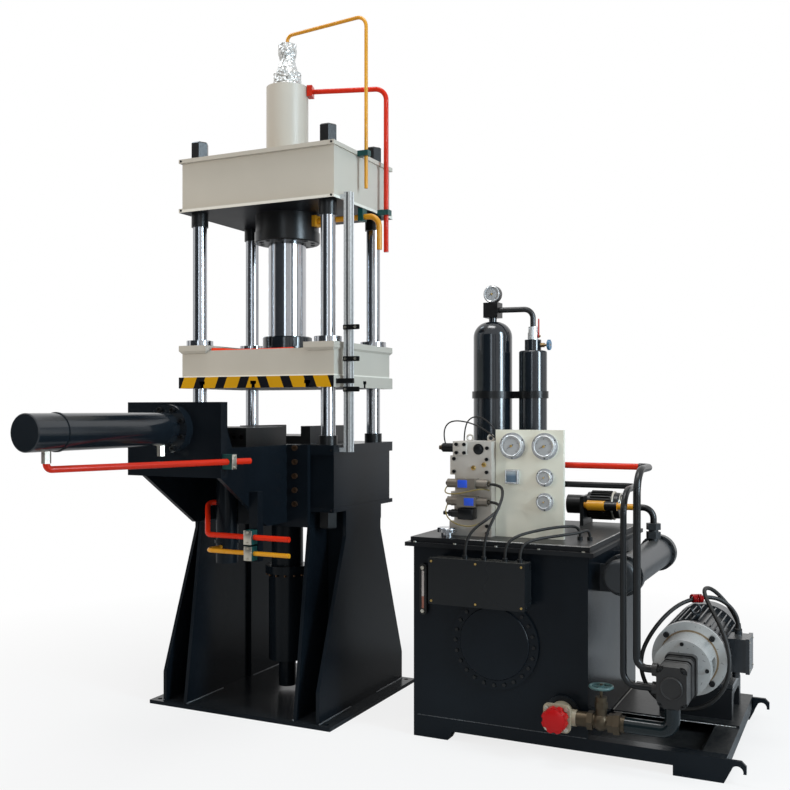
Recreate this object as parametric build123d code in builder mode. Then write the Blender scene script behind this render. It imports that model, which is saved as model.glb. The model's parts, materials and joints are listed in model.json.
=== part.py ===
from build123d import *
import os
from math import cos, radians, sin, tan

# A four-column vertical die casting press with its hydraulic power unit beside it.
# Millimetres. The origin is on the floor under the middle of the four columns,
# +X runs right along the front, +Y to the back and +Z up.

# Fits between pieces, all measured on the radius or on one face
COLUMN_FIT = 0.3
SEAT_FIT = 0.3

# Floor plate of the press
BASE_MARGIN_X = 70
BASE_MARGIN_Y = 165
BASE_THICK = 20
ANCHOR_EDGE = 40
ANCHOR_DIA = 26

# Welded legs
LEG_HEIGHT = 1063
LEG_SET_IN = 5
LEG_WIDTH = 157
LEG_PLATE = 20
LEG_BOX_STEP = 22
LEG_BOX_HALF = 135
LEG_FOOT_SET_IN = 25
LEG_FOOT_RISE = 160
LEG_NECK_HALF = 205
LEG_NECK_DROP = 138
LEG_FIN_HALF = 335

# Table, platen and top beam share one plan and four columns
BEAM_LENGTH = 1000
BEAM_DEPTH = 700
BEAM_LIP_X = 10
BEAM_LIP_Y = 20
TABLE_HEIGHT = 352
TABLE_TOP_PLATE = 53
TABLE_FOOT_PLATE = 22
COLUMN_DIA = 80
COLUMN_END_DIA = 64
COLUMN_EDGE_X = 82
COLUMN_EDGE_Y = 86
COLUMN_FREE = 1295
TOP_BEAM_HEIGHT = 300
TOP_BEAM_PLATE = 22
TOP_NUT_FLATS = 88
TOP_NUT_HEIGHT = 105
LOW_NUT_HEIGHT = 93
NUT_BEVEL = 7
TABLE_COLLAR_DIA = 100
TABLE_COLLAR_HEIGHT = 48
BEAM_COLLAR_DIA = 95
BEAM_COLLAR_HEIGHT = 75

# Moving platen with its T-slotted face
DAYLIGHT = 305
PLATEN_FACE = 62
PLATEN_BODY = 148
PLATEN_PAD = 30
PAD_LENGTH = 185
PAD_BEVEL = 14
PAD_FLARE = 40
T_SLOT_FROM_COLUMN = 78
T_SLOT_NECK = 22
T_SLOT_HEAD = 38
T_SLOT_LIP = 20
T_SLOT_DEEP = 38
BUSH_FLANGE_DIA = 150
BUSH_FLANGE = 30
BUSH_BODY_DIA = 112

# Main cylinder and ram
RAM_DIA = 215
RAM_LENGTH = 950
RAM_FLANGE_DIA = 280
RAM_FLANGE_HEIGHT = 85
RAM_FLANGE_BEVEL = 5
SPANNER_SLOTS = 6
SPANNER_WIDTH = 22
SPANNER_DEEP = 10
BARREL_DIA = 240
BARREL_BORE_GAP = 3
BARREL_RISE = 433
BARREL_HEAD = 33
BARREL_WELD = 8
GLAND_DIA = 362
GLAND_HEIGHT = 100
GLAND_RING_DIA = 373
GLAND_RING_HEIGHT = 60
GLAND_BEVEL = 6
VALVE_FOOT_DIA = 161
VALVE_FOOT_HEIGHT = 107
VALVE_CAP_DIA = 105
VALVE_WAIST_DIA = 84
VALVE_CAP_HEIGHT = 155

# Pipes of the main cylinder
PREFILL_PIPE_DIA = 20
PREFILL_PIPE_RISE = 40
PREFILL_DROP = 941
HEAD_PIPE_DIA = 28
HEAD_PIPE_BELOW_TOP = 10
HEAD_PIPE_DROP = 925
GLAND_PIPE_DIA = 32
GLAND_PIPE_BELOW_BEAM = 45
GLAND_PIPE_DROP = 187
RISER_STAND_OFF = 45
GLAND_RISER_STAND_OFF = 89
PREFILL_RISER_Y = -70
HEAD_RISER_Y = 176
GLAND_RISER_Y = 0
PIPE_BEND = 62
CLAMP_WIDTH = 30
CLAMP_WALL = 9
FLANGE_BLOCK = 62

# Switch rail on the right of the press
RAIL_SIDE = 40
RAIL_STAND_OFF = 25
RAIL_FROM_FRONT = 82
RAIL_BELOW_TABLE_TOP = 37
RAIL_ABOVE_BEAM_FOOT = 35
RAIL_SLOT = 9
RAIL_SLOT_DEEP = 12
SWITCHES_ABOVE_TABLE = (618, 452, 293)
SWITCH_LENGTH = 95
SWITCH_HEIGHT = 26
SWITCH_THICK = 8
SWITCH_ROUND = 5
TRIGGER_GAP = 14
TRIGGER_THICK = 16
TRIGGER_HEIGHT = 26
TRIGGER_LENGTH = 100

# Side bracket in front of the table
BRACKET_BACK_HALF = 360
BRACKET_BACK_THICK = 30
BRACKET_BACK_HEIGHT = 432
BRACKET_REACH = 600
BRACKET_FACE_HALF = 278
BRACKET_FACE_THICK = 52
BRACKET_FACE_BELOW = 137
BRACKET_FACE_ABOVE = 222
GUSSET_HALF = 235
GUSSET_PLATE = 22
GUSSET_BELOW = 410
GUSSET_FRONT_BELOW = 139
GUSSET_LEVEL = 195
GUSSET_UPPER = 100
DECK_THICK = 40

# Blocks that guide and clamp the die
SLIDE_HALF = 225
SLIDE_LENGTH = 373
SLIDE_HEIGHT = 95
SLIDE_HOLE_DIA = 26
SLIDE_HOLE_X = 175
SLIDE_HOLE_PITCH = 45
SLIDE_GAP = 25
COUPLING_HALF = 60
COUPLING_THICK = 25
COUPLING_RISE = 60
CLAMP_RAIL_WIDTH = 60
CLAMP_RAIL_X = 202
CLAMP_RAIL_FRONT = -137
CLAMP_RAIL_LENGTH = 402
DIE_PLATE_HEIGHT = 40

# Side cylinder
SIDE_AXIS_ABOVE = 93
SIDE_DIA = 158
SIDE_LENGTH = 879
SIDE_CAP = 176
SIDE_RING_DIA = 166
SIDE_RING = 10
SIDE_BEVEL = 4
SIDE_FLANGE_DIA = 235
SIDE_FLANGE = 50
SIDE_ROD_DIA = 70
SIDE_PORT_IN = 116
SIDE_PORT_DIA = 40
SIDE_PORT_DROP = 48
SIDE_PIPE_DIA = 29
SIDE_PIPE_BELOW = 59
SIDE_PIPE_BEND = 24
SIDE_CLAMP_STAND_OFF = 32
SIDE_PIPE_PAST_CLAMP = 116

# Ejector cylinder under the deck
EJECT_FORWARD = 240
EJECT_DIA = 114
EJECT_BELOW = 607
EJECT_RING_DIA = 128
EJECT_RING = 16
EJECT_RING_BELOW = 505
POST_SIDE = 50
POST_FOOT_BELOW = 568
POST_HEAD_BELOW = 222
POST_FRONT = 385
EJECT_RED_DIA = 27
EJECT_RED_BELOW = 444
EJECT_RED_PORT_BELOW = 295
EJECT_YELLOW_DIA = 23
EJECT_YELLOW_BELOW = 523
EJECT_PIPE_BEND = 30
EJECT_PORT_TURN = 40
EJECT_PIPE_SIDE = 42
EJECT_RED_SWING = 79
EJECT_PIPE_END = 485
FRONT_CLAMP_WIDTH = 46
FRONT_CLAMP_HEIGHT = 70

# Injection cylinder under the table
SHOT_DIA = 212
SHOT_NECK_DIA = 180
SHOT_FLANGE_DIA = 250
SHOT_FLANGE = 45
SHOT_FLANGE_BELOW = 393
SHOT_TUBE_LOW = 200
SHOT_TAIL_DIA = 98
SHOT_TAIL_LOW = 46
SHOT_TOP_FLANGE_DIA = 300
SHOT_TOP_FLANGE = 40

# Skid of the power unit
SKID_X0 = 968
SKID_LENGTH = 1489
SKID_Y0 = -370
SKID_DEPTH = 1050
SKID_FOOT = 45
SKID_RAIL = 60
SKID_FLANGE = 70
SKID_SHEET = 8
LEFT_FOOT_LENGTH = 182
RIGHT_FOOT_LENGTH = 227
FOOT_SLOPE = 25
FOOT_INSET = 10
FOOT_LEAN = 0.5
END_MEMBER = 110
HOOK_REACH = 83
HOOK_PLATE = 16
HOOK_NOSE = 20
HOOK_DROP = 55
HOOK_THROAT = 75
PLATFORM_FRONT = 100
PLATFORM_THICK = 10

# Oil tank
TANK_LENGTH = 881
TANK_DEPTH = 1010
TANK_HEIGHT = 840
TANK_WALL = 6
LID_RIM = 34
LID_RIM_THICK = 20
LID_PLATE = 25
LID_INSET = 22
MANHOLE_X = 1397
MANHOLE_Z = 502
MANHOLE_DIA = 350
MANHOLE_COVER_DIA = 440
MANHOLE_COVER = 14
MANHOLE_DISH = 8
BOX_X0 = 1113
BOX_LENGTH = 473
BOX_Z0 = 696
BOX_HEIGHT = 211
BOX_DEPTH = 140
BOX_STAND_OFF = 28
BOX_SPACER = 40
BOX_LID = 30
BOX_LID_LIP = 5
GAUGE_X = 1027
LEVEL_Z0 = 608
LEVEL_HEIGHT = 253
LEVEL_WIDTH = 38
LEVEL_DEPTH = 22

# Suction line on the front of the tank
SUCTION_Z = 215
SUCTION_OUT = 62
FILTER_X = 1731
FILTER_FLANGE_DIA = 158
FILTER_FLANGE = 16
FILTER_BODY_DIA = 112
FILTER_SQUARE = 126
FILTER_SQUARE_THICK = 16
FILTER_LENGTH = 105
FILTER_PORT_DIA = 74
FILTER_PORT_LENGTH = 84
KNOB_DIA = 118
KNOB_LENGTH = 42
KNOB_LOBES = 8
KNOB_SCOOP = 30
KNOB_GAP = 4
KNOB_STEM_DIA = 24
VALVE_X = 1926
VALVE_BODY_DIA = 84
VALVE_HALF = 60
VALVE_HEX = 76
VALVE_HEX_LENGTH = 26
BONNET_DIA = 52
BONNET_HEIGHT = 112
STEM_DIA = 14
WHEEL_Z = 372
WHEEL_DIA = 112
WHEEL_RIM = 13
WHEEL_HUB = 26
WHEEL_SPOKES = 4
UNION_HEX = 88
UNION_LENGTH = 48
SUCTION_PIPE_DIA = 68
SUCTION_BEND = 50

# Motor, bell housing and pump
MOTOR_X = 2240
MOTOR_Z = 434
MOTOR_FLANGE_Y = 20
MOTOR_FLANGE_DIA = 350
MOTOR_FLANGE = 22
MOTOR_CORE_DIA = 296
MOTOR_FIN_DIA = 344
MOTOR_FIN_COUNT = 36
MOTOR_FIN = 6
MOTOR_FIN_START = 60
MOTOR_FIN_LENGTH = 385
MOTOR_LENGTH = 600
COWL_DIA = 348
COWL_LENGTH = 130
COWL_ROUND = 28
STAND_LENGTH = 346
STAND_FRONT = 175
STAND_DEPTH = 345
STAND_HEIGHT = 139
STAND_WALL = 60
MOTOR_FOOT = 22
MOTOR_FOOT_WIDTH = 78
TERMINAL_BOX_Y = 160
TERMINAL_BOX_DEPTH = 150
TERMINAL_BOX_HEIGHT = 160
TERMINAL_BOX_OUT = 84
TERMINAL_LID = 18
GLAND_NUT_DIA = 36
GLAND_NUT_LENGTH = 16
EYE_Y = 205
EYE_RING = 22
EYE_WIRE = 6
EYE_COLLAR_DIA = 40
BELL_DIA = 258
BELL_WALL = 16
BELL_FLANGE = 20
BELL_LENGTH = 215
BELL_NOSE = 22
BELL_WINDOW_LENGTH = 90
BELL_WINDOW_WIDTH = 70
PUMP_WIDTH = 130
PUMP_HEIGHT = 183
PUMP_LENGTH = 265
PUMP_DROP = 26
PUMP_ROUND = 24
PUMP_COVER = 40
PUMP_COVER_STEP = 6
PUMP_GROOVES = ((62, 7, 5), (118, 26, 14), (160, 7, 5))
PUMP_EAR = 16
PUMP_SCALLOP = 30
PUMP_BOSS_DIA = 100
PUMP_PORT_Y = -425
PUMP_PORT_DIA = 58
PUMP_PORT_LENGTH = 22
PORT_HIGH_Z = 475
PORT_LOW_Z = 392

# Pressure pipes from the pump to the manifold
RISER_A_DIA = 34
RISER_A_X = 2084
RISER_A_TOP = 1350
RISER_B_DIA = 29
RISER_B_X = 2024
RISER_B_TOP = 1257
RUN_Y = -130
RISER_BEND = 58
RISER_TOP_BEND = 110
RED_RUN_DIA = 30
RED_RUN_END = 2030

# Manifold, valves and gauge panel on the lid
MANIFOLD_X0 = 1106
MANIFOLD_LENGTH = 224
MANIFOLD_Y0 = -240
MANIFOLD_DEPTH = 190
MANIFOLD_LEVELS = (70, 78, 72, 84, 96, 72)
MANIFOLD_STEPS = (0, 26, 8, 30, 4, 18)
VALVE_BODY = (96, 64, 52)
VALVE_LEVELS = (150, 238)
COIL_DIA = 44
COIL_LENGTH = 58
SENSOR_DIA = 46
SENSOR_LENGTH = 92
BREATHER_X = 1118
BREATHER_Y = -297
BREATHER_DIA = 100
BREATHER_HEIGHT = 46
PANEL_X0 = 1332
PANEL_LENGTH = 348
PANEL_Y = -184
PANEL_HEIGHT = 531
PANEL_SHEET = 4
PANEL_RETURN = 25
BIG_GAUGE_DIA = 132
BIG_GAUGE_CASE = 104
SMALL_GAUGE_DIA = 88
SMALL_GAUGE_CASE = 66
GAUGE_RIM = 8
GAUGE_DEPTH = 24
METER_SIDE = 70
METER_DEPTH = 16
GAUGE_LEFT_X = 89
GAUGE_RIGHT_X = 255
GAUGE_ROW_1 = 451
GAUGE_ROW_2 = 299
GAUGE_ROW_3 = 180

# Accumulator and nitrogen bottle
ACC_X = 1080
ACC_Y = 464
ACC_DIA = 219
ACC_HEIGHT = 1129
ACC_FOOT_DIA = 150
ACC_NECK_DIA = 45
ACC_NECK = 23
ACC_BLOCK = 85
HEAD_GAUGE_DIA = 98
HEAD_GAUGE_DEPTH = 40
BOTTLE_X = 1309
BOTTLE_Y = 490
BOTTLE_DIA = 157
BOTTLE_HEIGHT = 961
BOTTLE_SHOULDER = 12
BOTTLE_NECK_DIA = 93
BOTTLE_NECK = 61
BALL_DIA = 59
BALL_HEIGHT = 40
COLLAR_DIA = 52
COLLAR_HEIGHT = 33
NITROGEN_PIPE_DIA = 31
NITROGEN_BEND = 50
STRAP_Z = 1684
STRAP_HEIGHT = 40
STRAP_THICK = 8
LEVER_LENGTH = 98
LEVER_WIDTH = 16
LEVER_THICK = 4
LEVER_HUB_DIA = 22
LEVER_PIN_DIA = 12
LEVER_PIN = 14
LEVER_GAP = 2
NEEDLE_STEM_DIA = 14
NEEDLE_STEM = 40
NEEDLE_WHEEL_DIA = 59
NEEDLE_WHEEL = 14
NEEDLE_LOBES = 6

# Cooler and circulation pump
COOLER_X = 1982
COOLER_Z = 850
COOLER_FRONT = -330
COOLER_LENGTH = 1010
COOLER_DIA = 160
COOLER_FLANGE_DIA = 192
COOLER_FLANGE = 26
COOLER_HEAD = 70
COOLER_PORT_Y = 461
COOLER_PORT_DIA = 50
COOLER_PORT_HEIGHT = 90
UNION_NUT = 66
UNION_NUT_HEIGHT = 34
SADDLE_THICK = 20
SADDLE_HALF = 62
SADDLE_FRONT = -150
SADDLE_BACK = 330
RETURN_DIA = 34
RETURN_Z = 1100
RETURN_BEND = 56
SLEEVE_GAP = 18
SLEEVE_DIA = 54
SLEEVE_LENGTH = 94
HOSE_DIA = 48
HOSE_LENGTH = 68
CIRC_Y = 562
CIRC_Z = 1095
CIRC_MOTOR_DIA = 142
CIRC_MOTOR = 178
CIRC_PUMP_DIA = 104
CIRC_PUMP = 98
CIRC_PLATE_X = 1590
CIRC_PLATE = 20
CIRC_PLATE_WIDTH = 200
CIRC_PLATE_HEIGHT = 160

# Control cables between the junction box, the valves and the pump on the lid
LEAD_DIA = 14
LEAD_GLAND_DIA = 26
LEAD_GLAND = 18
LEAD_ROUTES = (
    (
        (1276, -455, 925),
        (1276, -455, 985),
        (1310, -440, 1050),
        (1370, -385, 1100),
        (1400, -315, 1140),
        (1375, -272, 1166),
        (1324, -272, 1166),
    ),
    (
        (1372, -455, 925),
        (1372, -455, 990),
        (1395, -440, 1070),
        (1425, -400, 1150),
        (1425, -330, 1215),
        (1390, -272, 1254),
        (1324, -272, 1254),
    ),
    (
        (1477, -455, 925),
        (1477, -455, 985),
        (1520, -425, 1028),
        (1610, -340, 1052),
        (1695, -235, 1062),
        (1752, -150, 1056),
        (1752, -150, 1008),
    ),
    (
        (1550, -455, 925),
        (1550, -455, 980),
        (1596, -420, 1014),
        (1690, -330, 1026),
        (1768, -232, 1034),
        (1800, -150, 1044),
        (1800, -150, 1008),
    ),
)

# Spare motor cable, hung in loops on the motor's eyebolt
CABLE_DIA = 20
CABLE_ROUTE = (
    (2430, 285, 530),
    (2430, 285, 576),
    (2413, 287, 619),
    (2376, 280, 662),
    (2318, 254, 692),
    (2244, 206, 690),
    (2170, 150, 664),
    (2106, 96, 606),
    (2050, 46, 526),
    (2014, 4, 440),
    (2020, -32, 348),
    (2070, -50, 262),
    (2148, -58, 214),
    (2238, -60, 204),
    (2326, -54, 232),
    (2396, -44, 298),
    (2428, -30, 390),
    (2424, 0, 486),
    (2386, 44, 578),
    (2334, 98, 650),
    (2290, 160, 708),
    (2274, 232, 734),
    (2292, 304, 728),
    (2330, 354, 688),
    (2390, 382, 608),
    (2424, 398, 522),
    (2436, 404, 446),
)


# Heights that follow from the sizes above
table_low = BASE_THICK + LEG_HEIGHT
table_top = table_low + TABLE_HEIGHT
beam_low = table_top + COLUMN_FREE
beam_top = beam_low + TOP_BEAM_HEIGHT
platen_low = table_top + DAYLIGHT
platen_body_low = platen_low + PLATEN_FACE
platen_deck = platen_body_low + PLATEN_BODY
platen_top = platen_deck + PLATEN_PAD
barrel_top = beam_top + BARREL_RISE
valve_top = barrel_top + VALVE_FOOT_HEIGHT + VALVE_CAP_HEIGHT
base_length = BEAM_LENGTH + 2 * BASE_MARGIN_X
base_depth = BEAM_DEPTH + 2 * BASE_MARGIN_Y
leg_outer_x = BEAM_LENGTH / 2 - LEG_SET_IN
leg_inner_x = leg_outer_x - LEG_WIDTH
leg_foot_half = base_depth / 2 - LEG_FOOT_SET_IN
column_spacing_x = BEAM_LENGTH - 2 * COLUMN_EDGE_X
column_spacing_y = BEAM_DEPTH - 2 * COLUMN_EDGE_Y
t_slot_pitch = column_spacing_x / 2 - T_SLOT_FROM_COLUMN
body_length = BEAM_LENGTH - 2 * BEAM_LIP_X
body_depth = BEAM_DEPTH - 2 * BEAM_LIP_Y
right_edge = BEAM_LENGTH / 2
front_edge = -BEAM_DEPTH / 2
rail_y = front_edge + RAIL_FROM_FRONT
bracket_face_low = table_top - BRACKET_FACE_BELOW
bracket_face_high = table_top + BRACKET_FACE_ABOVE
gusset_low = table_top - GUSSET_BELOW
gusset_front_low = table_top - GUSSET_FRONT_BELOW
side_axis_z = table_top + SIDE_AXIS_ABOVE
side_pipe_z = table_top - SIDE_PIPE_BELOW
eject_low = table_top - EJECT_BELOW
eject_ring_z = table_top - EJECT_RING_BELOW
post_low = table_top - POST_FOOT_BELOW
post_high = table_top - POST_HEAD_BELOW
eject_red_z = table_top - EJECT_RED_BELOW
eject_red_port_z = table_top - EJECT_RED_PORT_BELOW
eject_yellow_z = table_top - EJECT_YELLOW_BELOW
shot_flange_z = table_low - SHOT_FLANGE_BELOW
skid_x1 = SKID_X0 + SKID_LENGTH
skid_y1 = SKID_Y0 + SKID_DEPTH
skid_top = SKID_FOOT + SKID_RAIL
tank_x1 = SKID_X0 + TANK_LENGTH
tank_y1 = SKID_Y0 + TANK_DEPTH
tank_top = skid_top + TANK_HEIGHT
lid_top = tank_top + LID_RIM_THICK + LID_PLATE
suction_y = SKID_Y0 - SUCTION_OUT

os.makedirs("parts", exist_ok=True)


def write_piece(piece, name):
    """Label a finished piece and write it as its own STEP file."""
    piece.part.label = name
    export_step(piece.part, f"parts/{name}.step")


def slab(x0, x1, y0, y1, z0, z1, mode=Mode.ADD):
    """A straight-sided block between two corners."""
    with Locations(((x0 + x1) / 2, (y0 + y1) / 2, (z0 + z1) / 2)):
        Box(x1 - x0, y1 - y0, z1 - z0, mode=mode)


def rod(centre, axis, diameter, length, mode=Mode.ADD):
    """A round bar that starts at centre and runs along axis."""
    with Locations(Plane(origin=centre, z_dir=axis)):
        Cylinder(diameter / 2, length, align=(Align.CENTER, Align.CENTER, Align.MIN), mode=mode)


def bent_pipe(points, bend, diameter):
    """A pipe along straight runs joined by bends."""
    with BuildLine() as route:
        FilletPolyline(*points, radius=bend)
    centre_line = route.wire()
    with BuildSketch(Plane(origin=centre_line @ 0, z_dir=centre_line % 0)) as section:
        Circle(diameter / 2)
    sweep(section.sketch, path=centre_line)


def column_places():
    """The four column centres."""
    return GridLocations(column_spacing_x, column_spacing_y, 2, 2)


def cord_bends(points):
    """The largest bend that each corner of a cord's route has room for."""
    bends = []
    for before, corner, after in zip(points, points[1:], points[2:]):
        arriving = Vector(corner) - Vector(before)
        leaving = Vector(after) - Vector(corner)
        half_turn = radians(arriving.get_angle(leaving) / 2)
        bends.append(0.45 * min(arriving.length, leaving.length) / tan(half_turn))
    return bends


# Floor plate with its anchor holes
with BuildPart() as base_plate:
    with BuildSketch():
        Rectangle(base_length, base_depth)
        with GridLocations(base_length - 2 * ANCHOR_EDGE, base_depth - 2 * ANCHOR_EDGE, 2, 2):
            Circle(ANCHOR_DIA / 2, mode=Mode.SUBTRACT)
    extrude(amount=BASE_THICK)
write_piece(base_plate, "base_plate")


# Legs: an outer plate, two steeper inner fins and a box column between them
def leg_outline():
    """Half of a leg plate, wide at the foot and narrow at the neck, mirrored to a whole."""
    neck_z = table_low - LEG_NECK_DROP
    with BuildLine() as half:
        Polyline(
            (0, BASE_THICK),
            (leg_foot_half, BASE_THICK),
            (leg_foot_half, BASE_THICK + LEG_FOOT_RISE),
            (LEG_NECK_HALF, neck_z),
            (LEG_NECK_HALF, table_low),
            (0, table_low),
            close=True,
        )
    make_face(half.edges())
    mirror(about=Plane.YZ)


with BuildPart() as press_legs:
    with BuildSketch(Plane.YZ.offset(leg_outer_x - LEG_PLATE)):
        leg_outline()
    extrude(amount=LEG_PLATE)
    with BuildSketch(Plane.YZ.offset(leg_inner_x)):
        with BuildLine():
            Polyline(
                (-leg_foot_half, BASE_THICK),
                (leg_foot_half, BASE_THICK),
                (LEG_FIN_HALF, table_low),
                (-LEG_FIN_HALF, table_low),
                close=True,
            )
        make_face()
        with Locations((0, table_low / 2)):
            Rectangle(2 * LEG_BOX_HALF, 2 * table_low, mode=Mode.SUBTRACT)
    extrude(amount=LEG_PLATE)
    for side in (-1, 1):
        web_y = side * LEG_BOX_HALF
        slab(
            leg_inner_x, leg_outer_x - LEG_PLATE, min(web_y, web_y + side * LEG_PLATE),
            max(web_y, web_y + side * LEG_PLATE), BASE_THICK, table_low,
        )
    slab(
        leg_inner_x + LEG_BOX_STEP, leg_inner_x + LEG_BOX_STEP + LEG_PLATE,
        -LEG_BOX_HALF, LEG_BOX_HALF, BASE_THICK, table_low,
    )
    mirror(about=Plane.YZ)
write_piece(press_legs, "press_legs")


# Table: a box beam between a thick top plate and a thin foot plate
with BuildPart() as lower_table:
    with BuildSketch(Plane.XY.offset(table_low)):
        Rectangle(BEAM_LENGTH, BEAM_DEPTH)
    extrude(amount=TABLE_FOOT_PLATE)
    with BuildSketch(Plane.XY.offset(table_low)):
        Rectangle(body_length, body_depth)
    extrude(amount=TABLE_HEIGHT)
    with BuildSketch(Plane.XY.offset(table_top - TABLE_TOP_PLATE)):
        Rectangle(BEAM_LENGTH, BEAM_DEPTH)
    extrude(amount=TABLE_TOP_PLATE)
    with BuildSketch(Plane.XY.offset(table_low)):
        with column_places():
            Circle(COLUMN_END_DIA / 2 + COLUMN_FIT)
    extrude(amount=TABLE_HEIGHT, mode=Mode.SUBTRACT)
write_piece(lower_table, "lower_table")


# Columns: ground shafts with a thinner end in each beam
with BuildPart() as guide_columns:
    with BuildSketch(Plane.XY.offset(table_low - LOW_NUT_HEIGHT)):
        with column_places():
            Circle(COLUMN_END_DIA / 2)
    extrude(amount=LOW_NUT_HEIGHT + TABLE_HEIGHT)
    with BuildSketch(Plane.XY.offset(table_top)):
        with column_places():
            Circle(COLUMN_DIA / 2)
    extrude(amount=COLUMN_FREE)
    with BuildSketch(Plane.XY.offset(beam_low)):
        with column_places():
            Circle(COLUMN_END_DIA / 2)
    extrude(amount=TOP_BEAM_HEIGHT + TOP_NUT_HEIGHT - NUT_BEVEL)
write_piece(guide_columns, "guide_columns")


# Nuts above the beam and below the table, with bevelled outer ends
def nut_row(low, height, outward):
    """Four six-sided nuts; outward is +1 where the bevelled end faces up."""
    with BuildSketch(Plane.XY.offset(low)) as section:
        with column_places():
            RegularPolygon(TOP_NUT_FLATS / 2, 6, major_radius=False)
            Circle(COLUMN_END_DIA / 2 + COLUMN_FIT, mode=Mode.SUBTRACT)
    extrude(section.sketch, amount=height)
    outer_end = low + height if outward > 0 else low
    ends = faces().filter_by(Axis.Z).filter_by(lambda face: abs(face.center().Z - outer_end) < 1)
    chamfer(ends.edges().filter_by(GeomType.LINE), NUT_BEVEL)


# Nuts, and the round collars that clamp the columns between the beams
with BuildPart() as column_fixings:
    nut_row(beam_top, TOP_NUT_HEIGHT, 1)
    nut_row(table_low - LOW_NUT_HEIGHT, LOW_NUT_HEIGHT, -1)
    with BuildSketch(Plane.XY.offset(table_top)):
        with column_places():
            Circle(TABLE_COLLAR_DIA / 2)
            Circle(COLUMN_DIA / 2 + COLUMN_FIT, mode=Mode.SUBTRACT)
    extrude(amount=TABLE_COLLAR_HEIGHT)
    with BuildSketch(Plane.XY.offset(beam_low - BEAM_COLLAR_HEIGHT)):
        with column_places():
            Circle(BEAM_COLLAR_DIA / 2)
            Circle(COLUMN_DIA / 2 + COLUMN_FIT, mode=Mode.SUBTRACT)
    extrude(amount=BEAM_COLLAR_HEIGHT)
write_piece(column_fixings, "column_fixings")


# Top beam: a box beam between two equal plates, bored for the main cylinder
with BuildPart() as top_beam:
    with BuildSketch(Plane.XY.offset(beam_low)):
        Rectangle(body_length, body_depth)
    extrude(amount=TOP_BEAM_HEIGHT)
    for plate_low in (beam_low, beam_top - TOP_BEAM_PLATE):
        with BuildSketch(Plane.XY.offset(plate_low)):
            Rectangle(BEAM_LENGTH, BEAM_DEPTH)
        extrude(amount=TOP_BEAM_PLATE)
    with BuildSketch(Plane.XY.offset(beam_low)):
        Circle(BARREL_DIA / 2 + SEAT_FIT)
        with column_places():
            Circle(COLUMN_END_DIA / 2 + COLUMN_FIT)
    extrude(amount=TOP_BEAM_HEIGHT, mode=Mode.SUBTRACT)
write_piece(top_beam, "top_beam")


# Main cylinder: a barrel through the beam, closed by its head, with a weld at the beam
barrel_bore = RAM_DIA + 2 * BARREL_BORE_GAP
with BuildPart() as main_cylinder:
    with BuildSketch(Plane.XZ):
        with BuildLine():
            Polyline(
                (barrel_bore / 2, beam_low),
                (BARREL_DIA / 2, beam_low),
                (BARREL_DIA / 2, beam_top),
                (BARREL_DIA / 2 + BARREL_WELD, beam_top),
                (BARREL_DIA / 2, beam_top + BARREL_WELD),
                (BARREL_DIA / 2, barrel_top),
                (0, barrel_top),
                (0, barrel_top - BARREL_HEAD),
                (barrel_bore / 2, barrel_top - BARREL_HEAD),
                close=True,
            )
        make_face()
    revolve(axis=Axis.Z)
write_piece(main_cylinder, "main_cylinder")


# Gland under the beam: a wide collar and a bolted ring round the ram
gland_low = beam_low - GLAND_HEIGHT - GLAND_RING_HEIGHT
with BuildPart() as cylinder_gland:
    with BuildSketch(Plane.XY.offset(gland_low)):
        Circle(GLAND_RING_DIA / 2)
    extrude(amount=GLAND_RING_HEIGHT)
    with BuildSketch(Plane.XY.offset(gland_low + GLAND_RING_HEIGHT)):
        Circle(GLAND_DIA / 2)
    extrude(amount=GLAND_HEIGHT)
    with BuildSketch(Plane.XY.offset(gland_low)):
        Circle(RAM_DIA / 2 + COLUMN_FIT)
    extrude(amount=GLAND_HEIGHT + GLAND_RING_HEIGHT, mode=Mode.SUBTRACT)
    chamfer(edges().filter_by(GeomType.CIRCLE).group_by(Axis.Z)[0].sort_by(SortBy.RADIUS)[-1], GLAND_BEVEL)
write_piece(cylinder_gland, "cylinder_gland")


# Prefill valve on the cylinder head: a wide foot and a waisted cap
with BuildPart() as prefill_valve:
    with BuildSketch(Plane.XZ):
        cap_low = barrel_top + VALVE_FOOT_HEIGHT
        with BuildLine():
            outline = Polyline(
                (0, valve_top),
                (0, barrel_top),
                (VALVE_FOOT_DIA / 2, barrel_top),
                (VALVE_FOOT_DIA / 2, cap_low - VALVE_FOOT_HEIGHT / 4),
                (VALVE_CAP_DIA / 2, cap_low),
            )
            waist = ThreePointArc(
                outline @ 1,
                (VALVE_WAIST_DIA / 2, cap_low + VALVE_CAP_HEIGHT / 3),
                (VALVE_CAP_DIA / 2, cap_low + VALVE_CAP_HEIGHT * 2 / 3),
            )
            Polyline(waist @ 1, (VALVE_CAP_DIA / 2, valve_top), outline @ 0)
        make_face()
    revolve(axis=Axis.Z)
write_piece(prefill_valve, "prefill_valve")


# Pipes of the main cylinder: prefill and gland pipes yellow, head pipe red
prefill_x = right_edge + RISER_STAND_OFF
prefill_z = valve_top + PREFILL_PIPE_RISE
with BuildPart() as prefill_pipe:
    bent_pipe(
        (
            (0, 0, valve_top),
            (0, 0, prefill_z),
            (prefill_x, PREFILL_RISER_Y, prefill_z),
            (prefill_x, PREFILL_RISER_Y, prefill_z - PREFILL_DROP),
        ),
        (PREFILL_PIPE_RISE * 0.8, PIPE_BEND),
        PREFILL_PIPE_DIA,
    )

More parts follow.
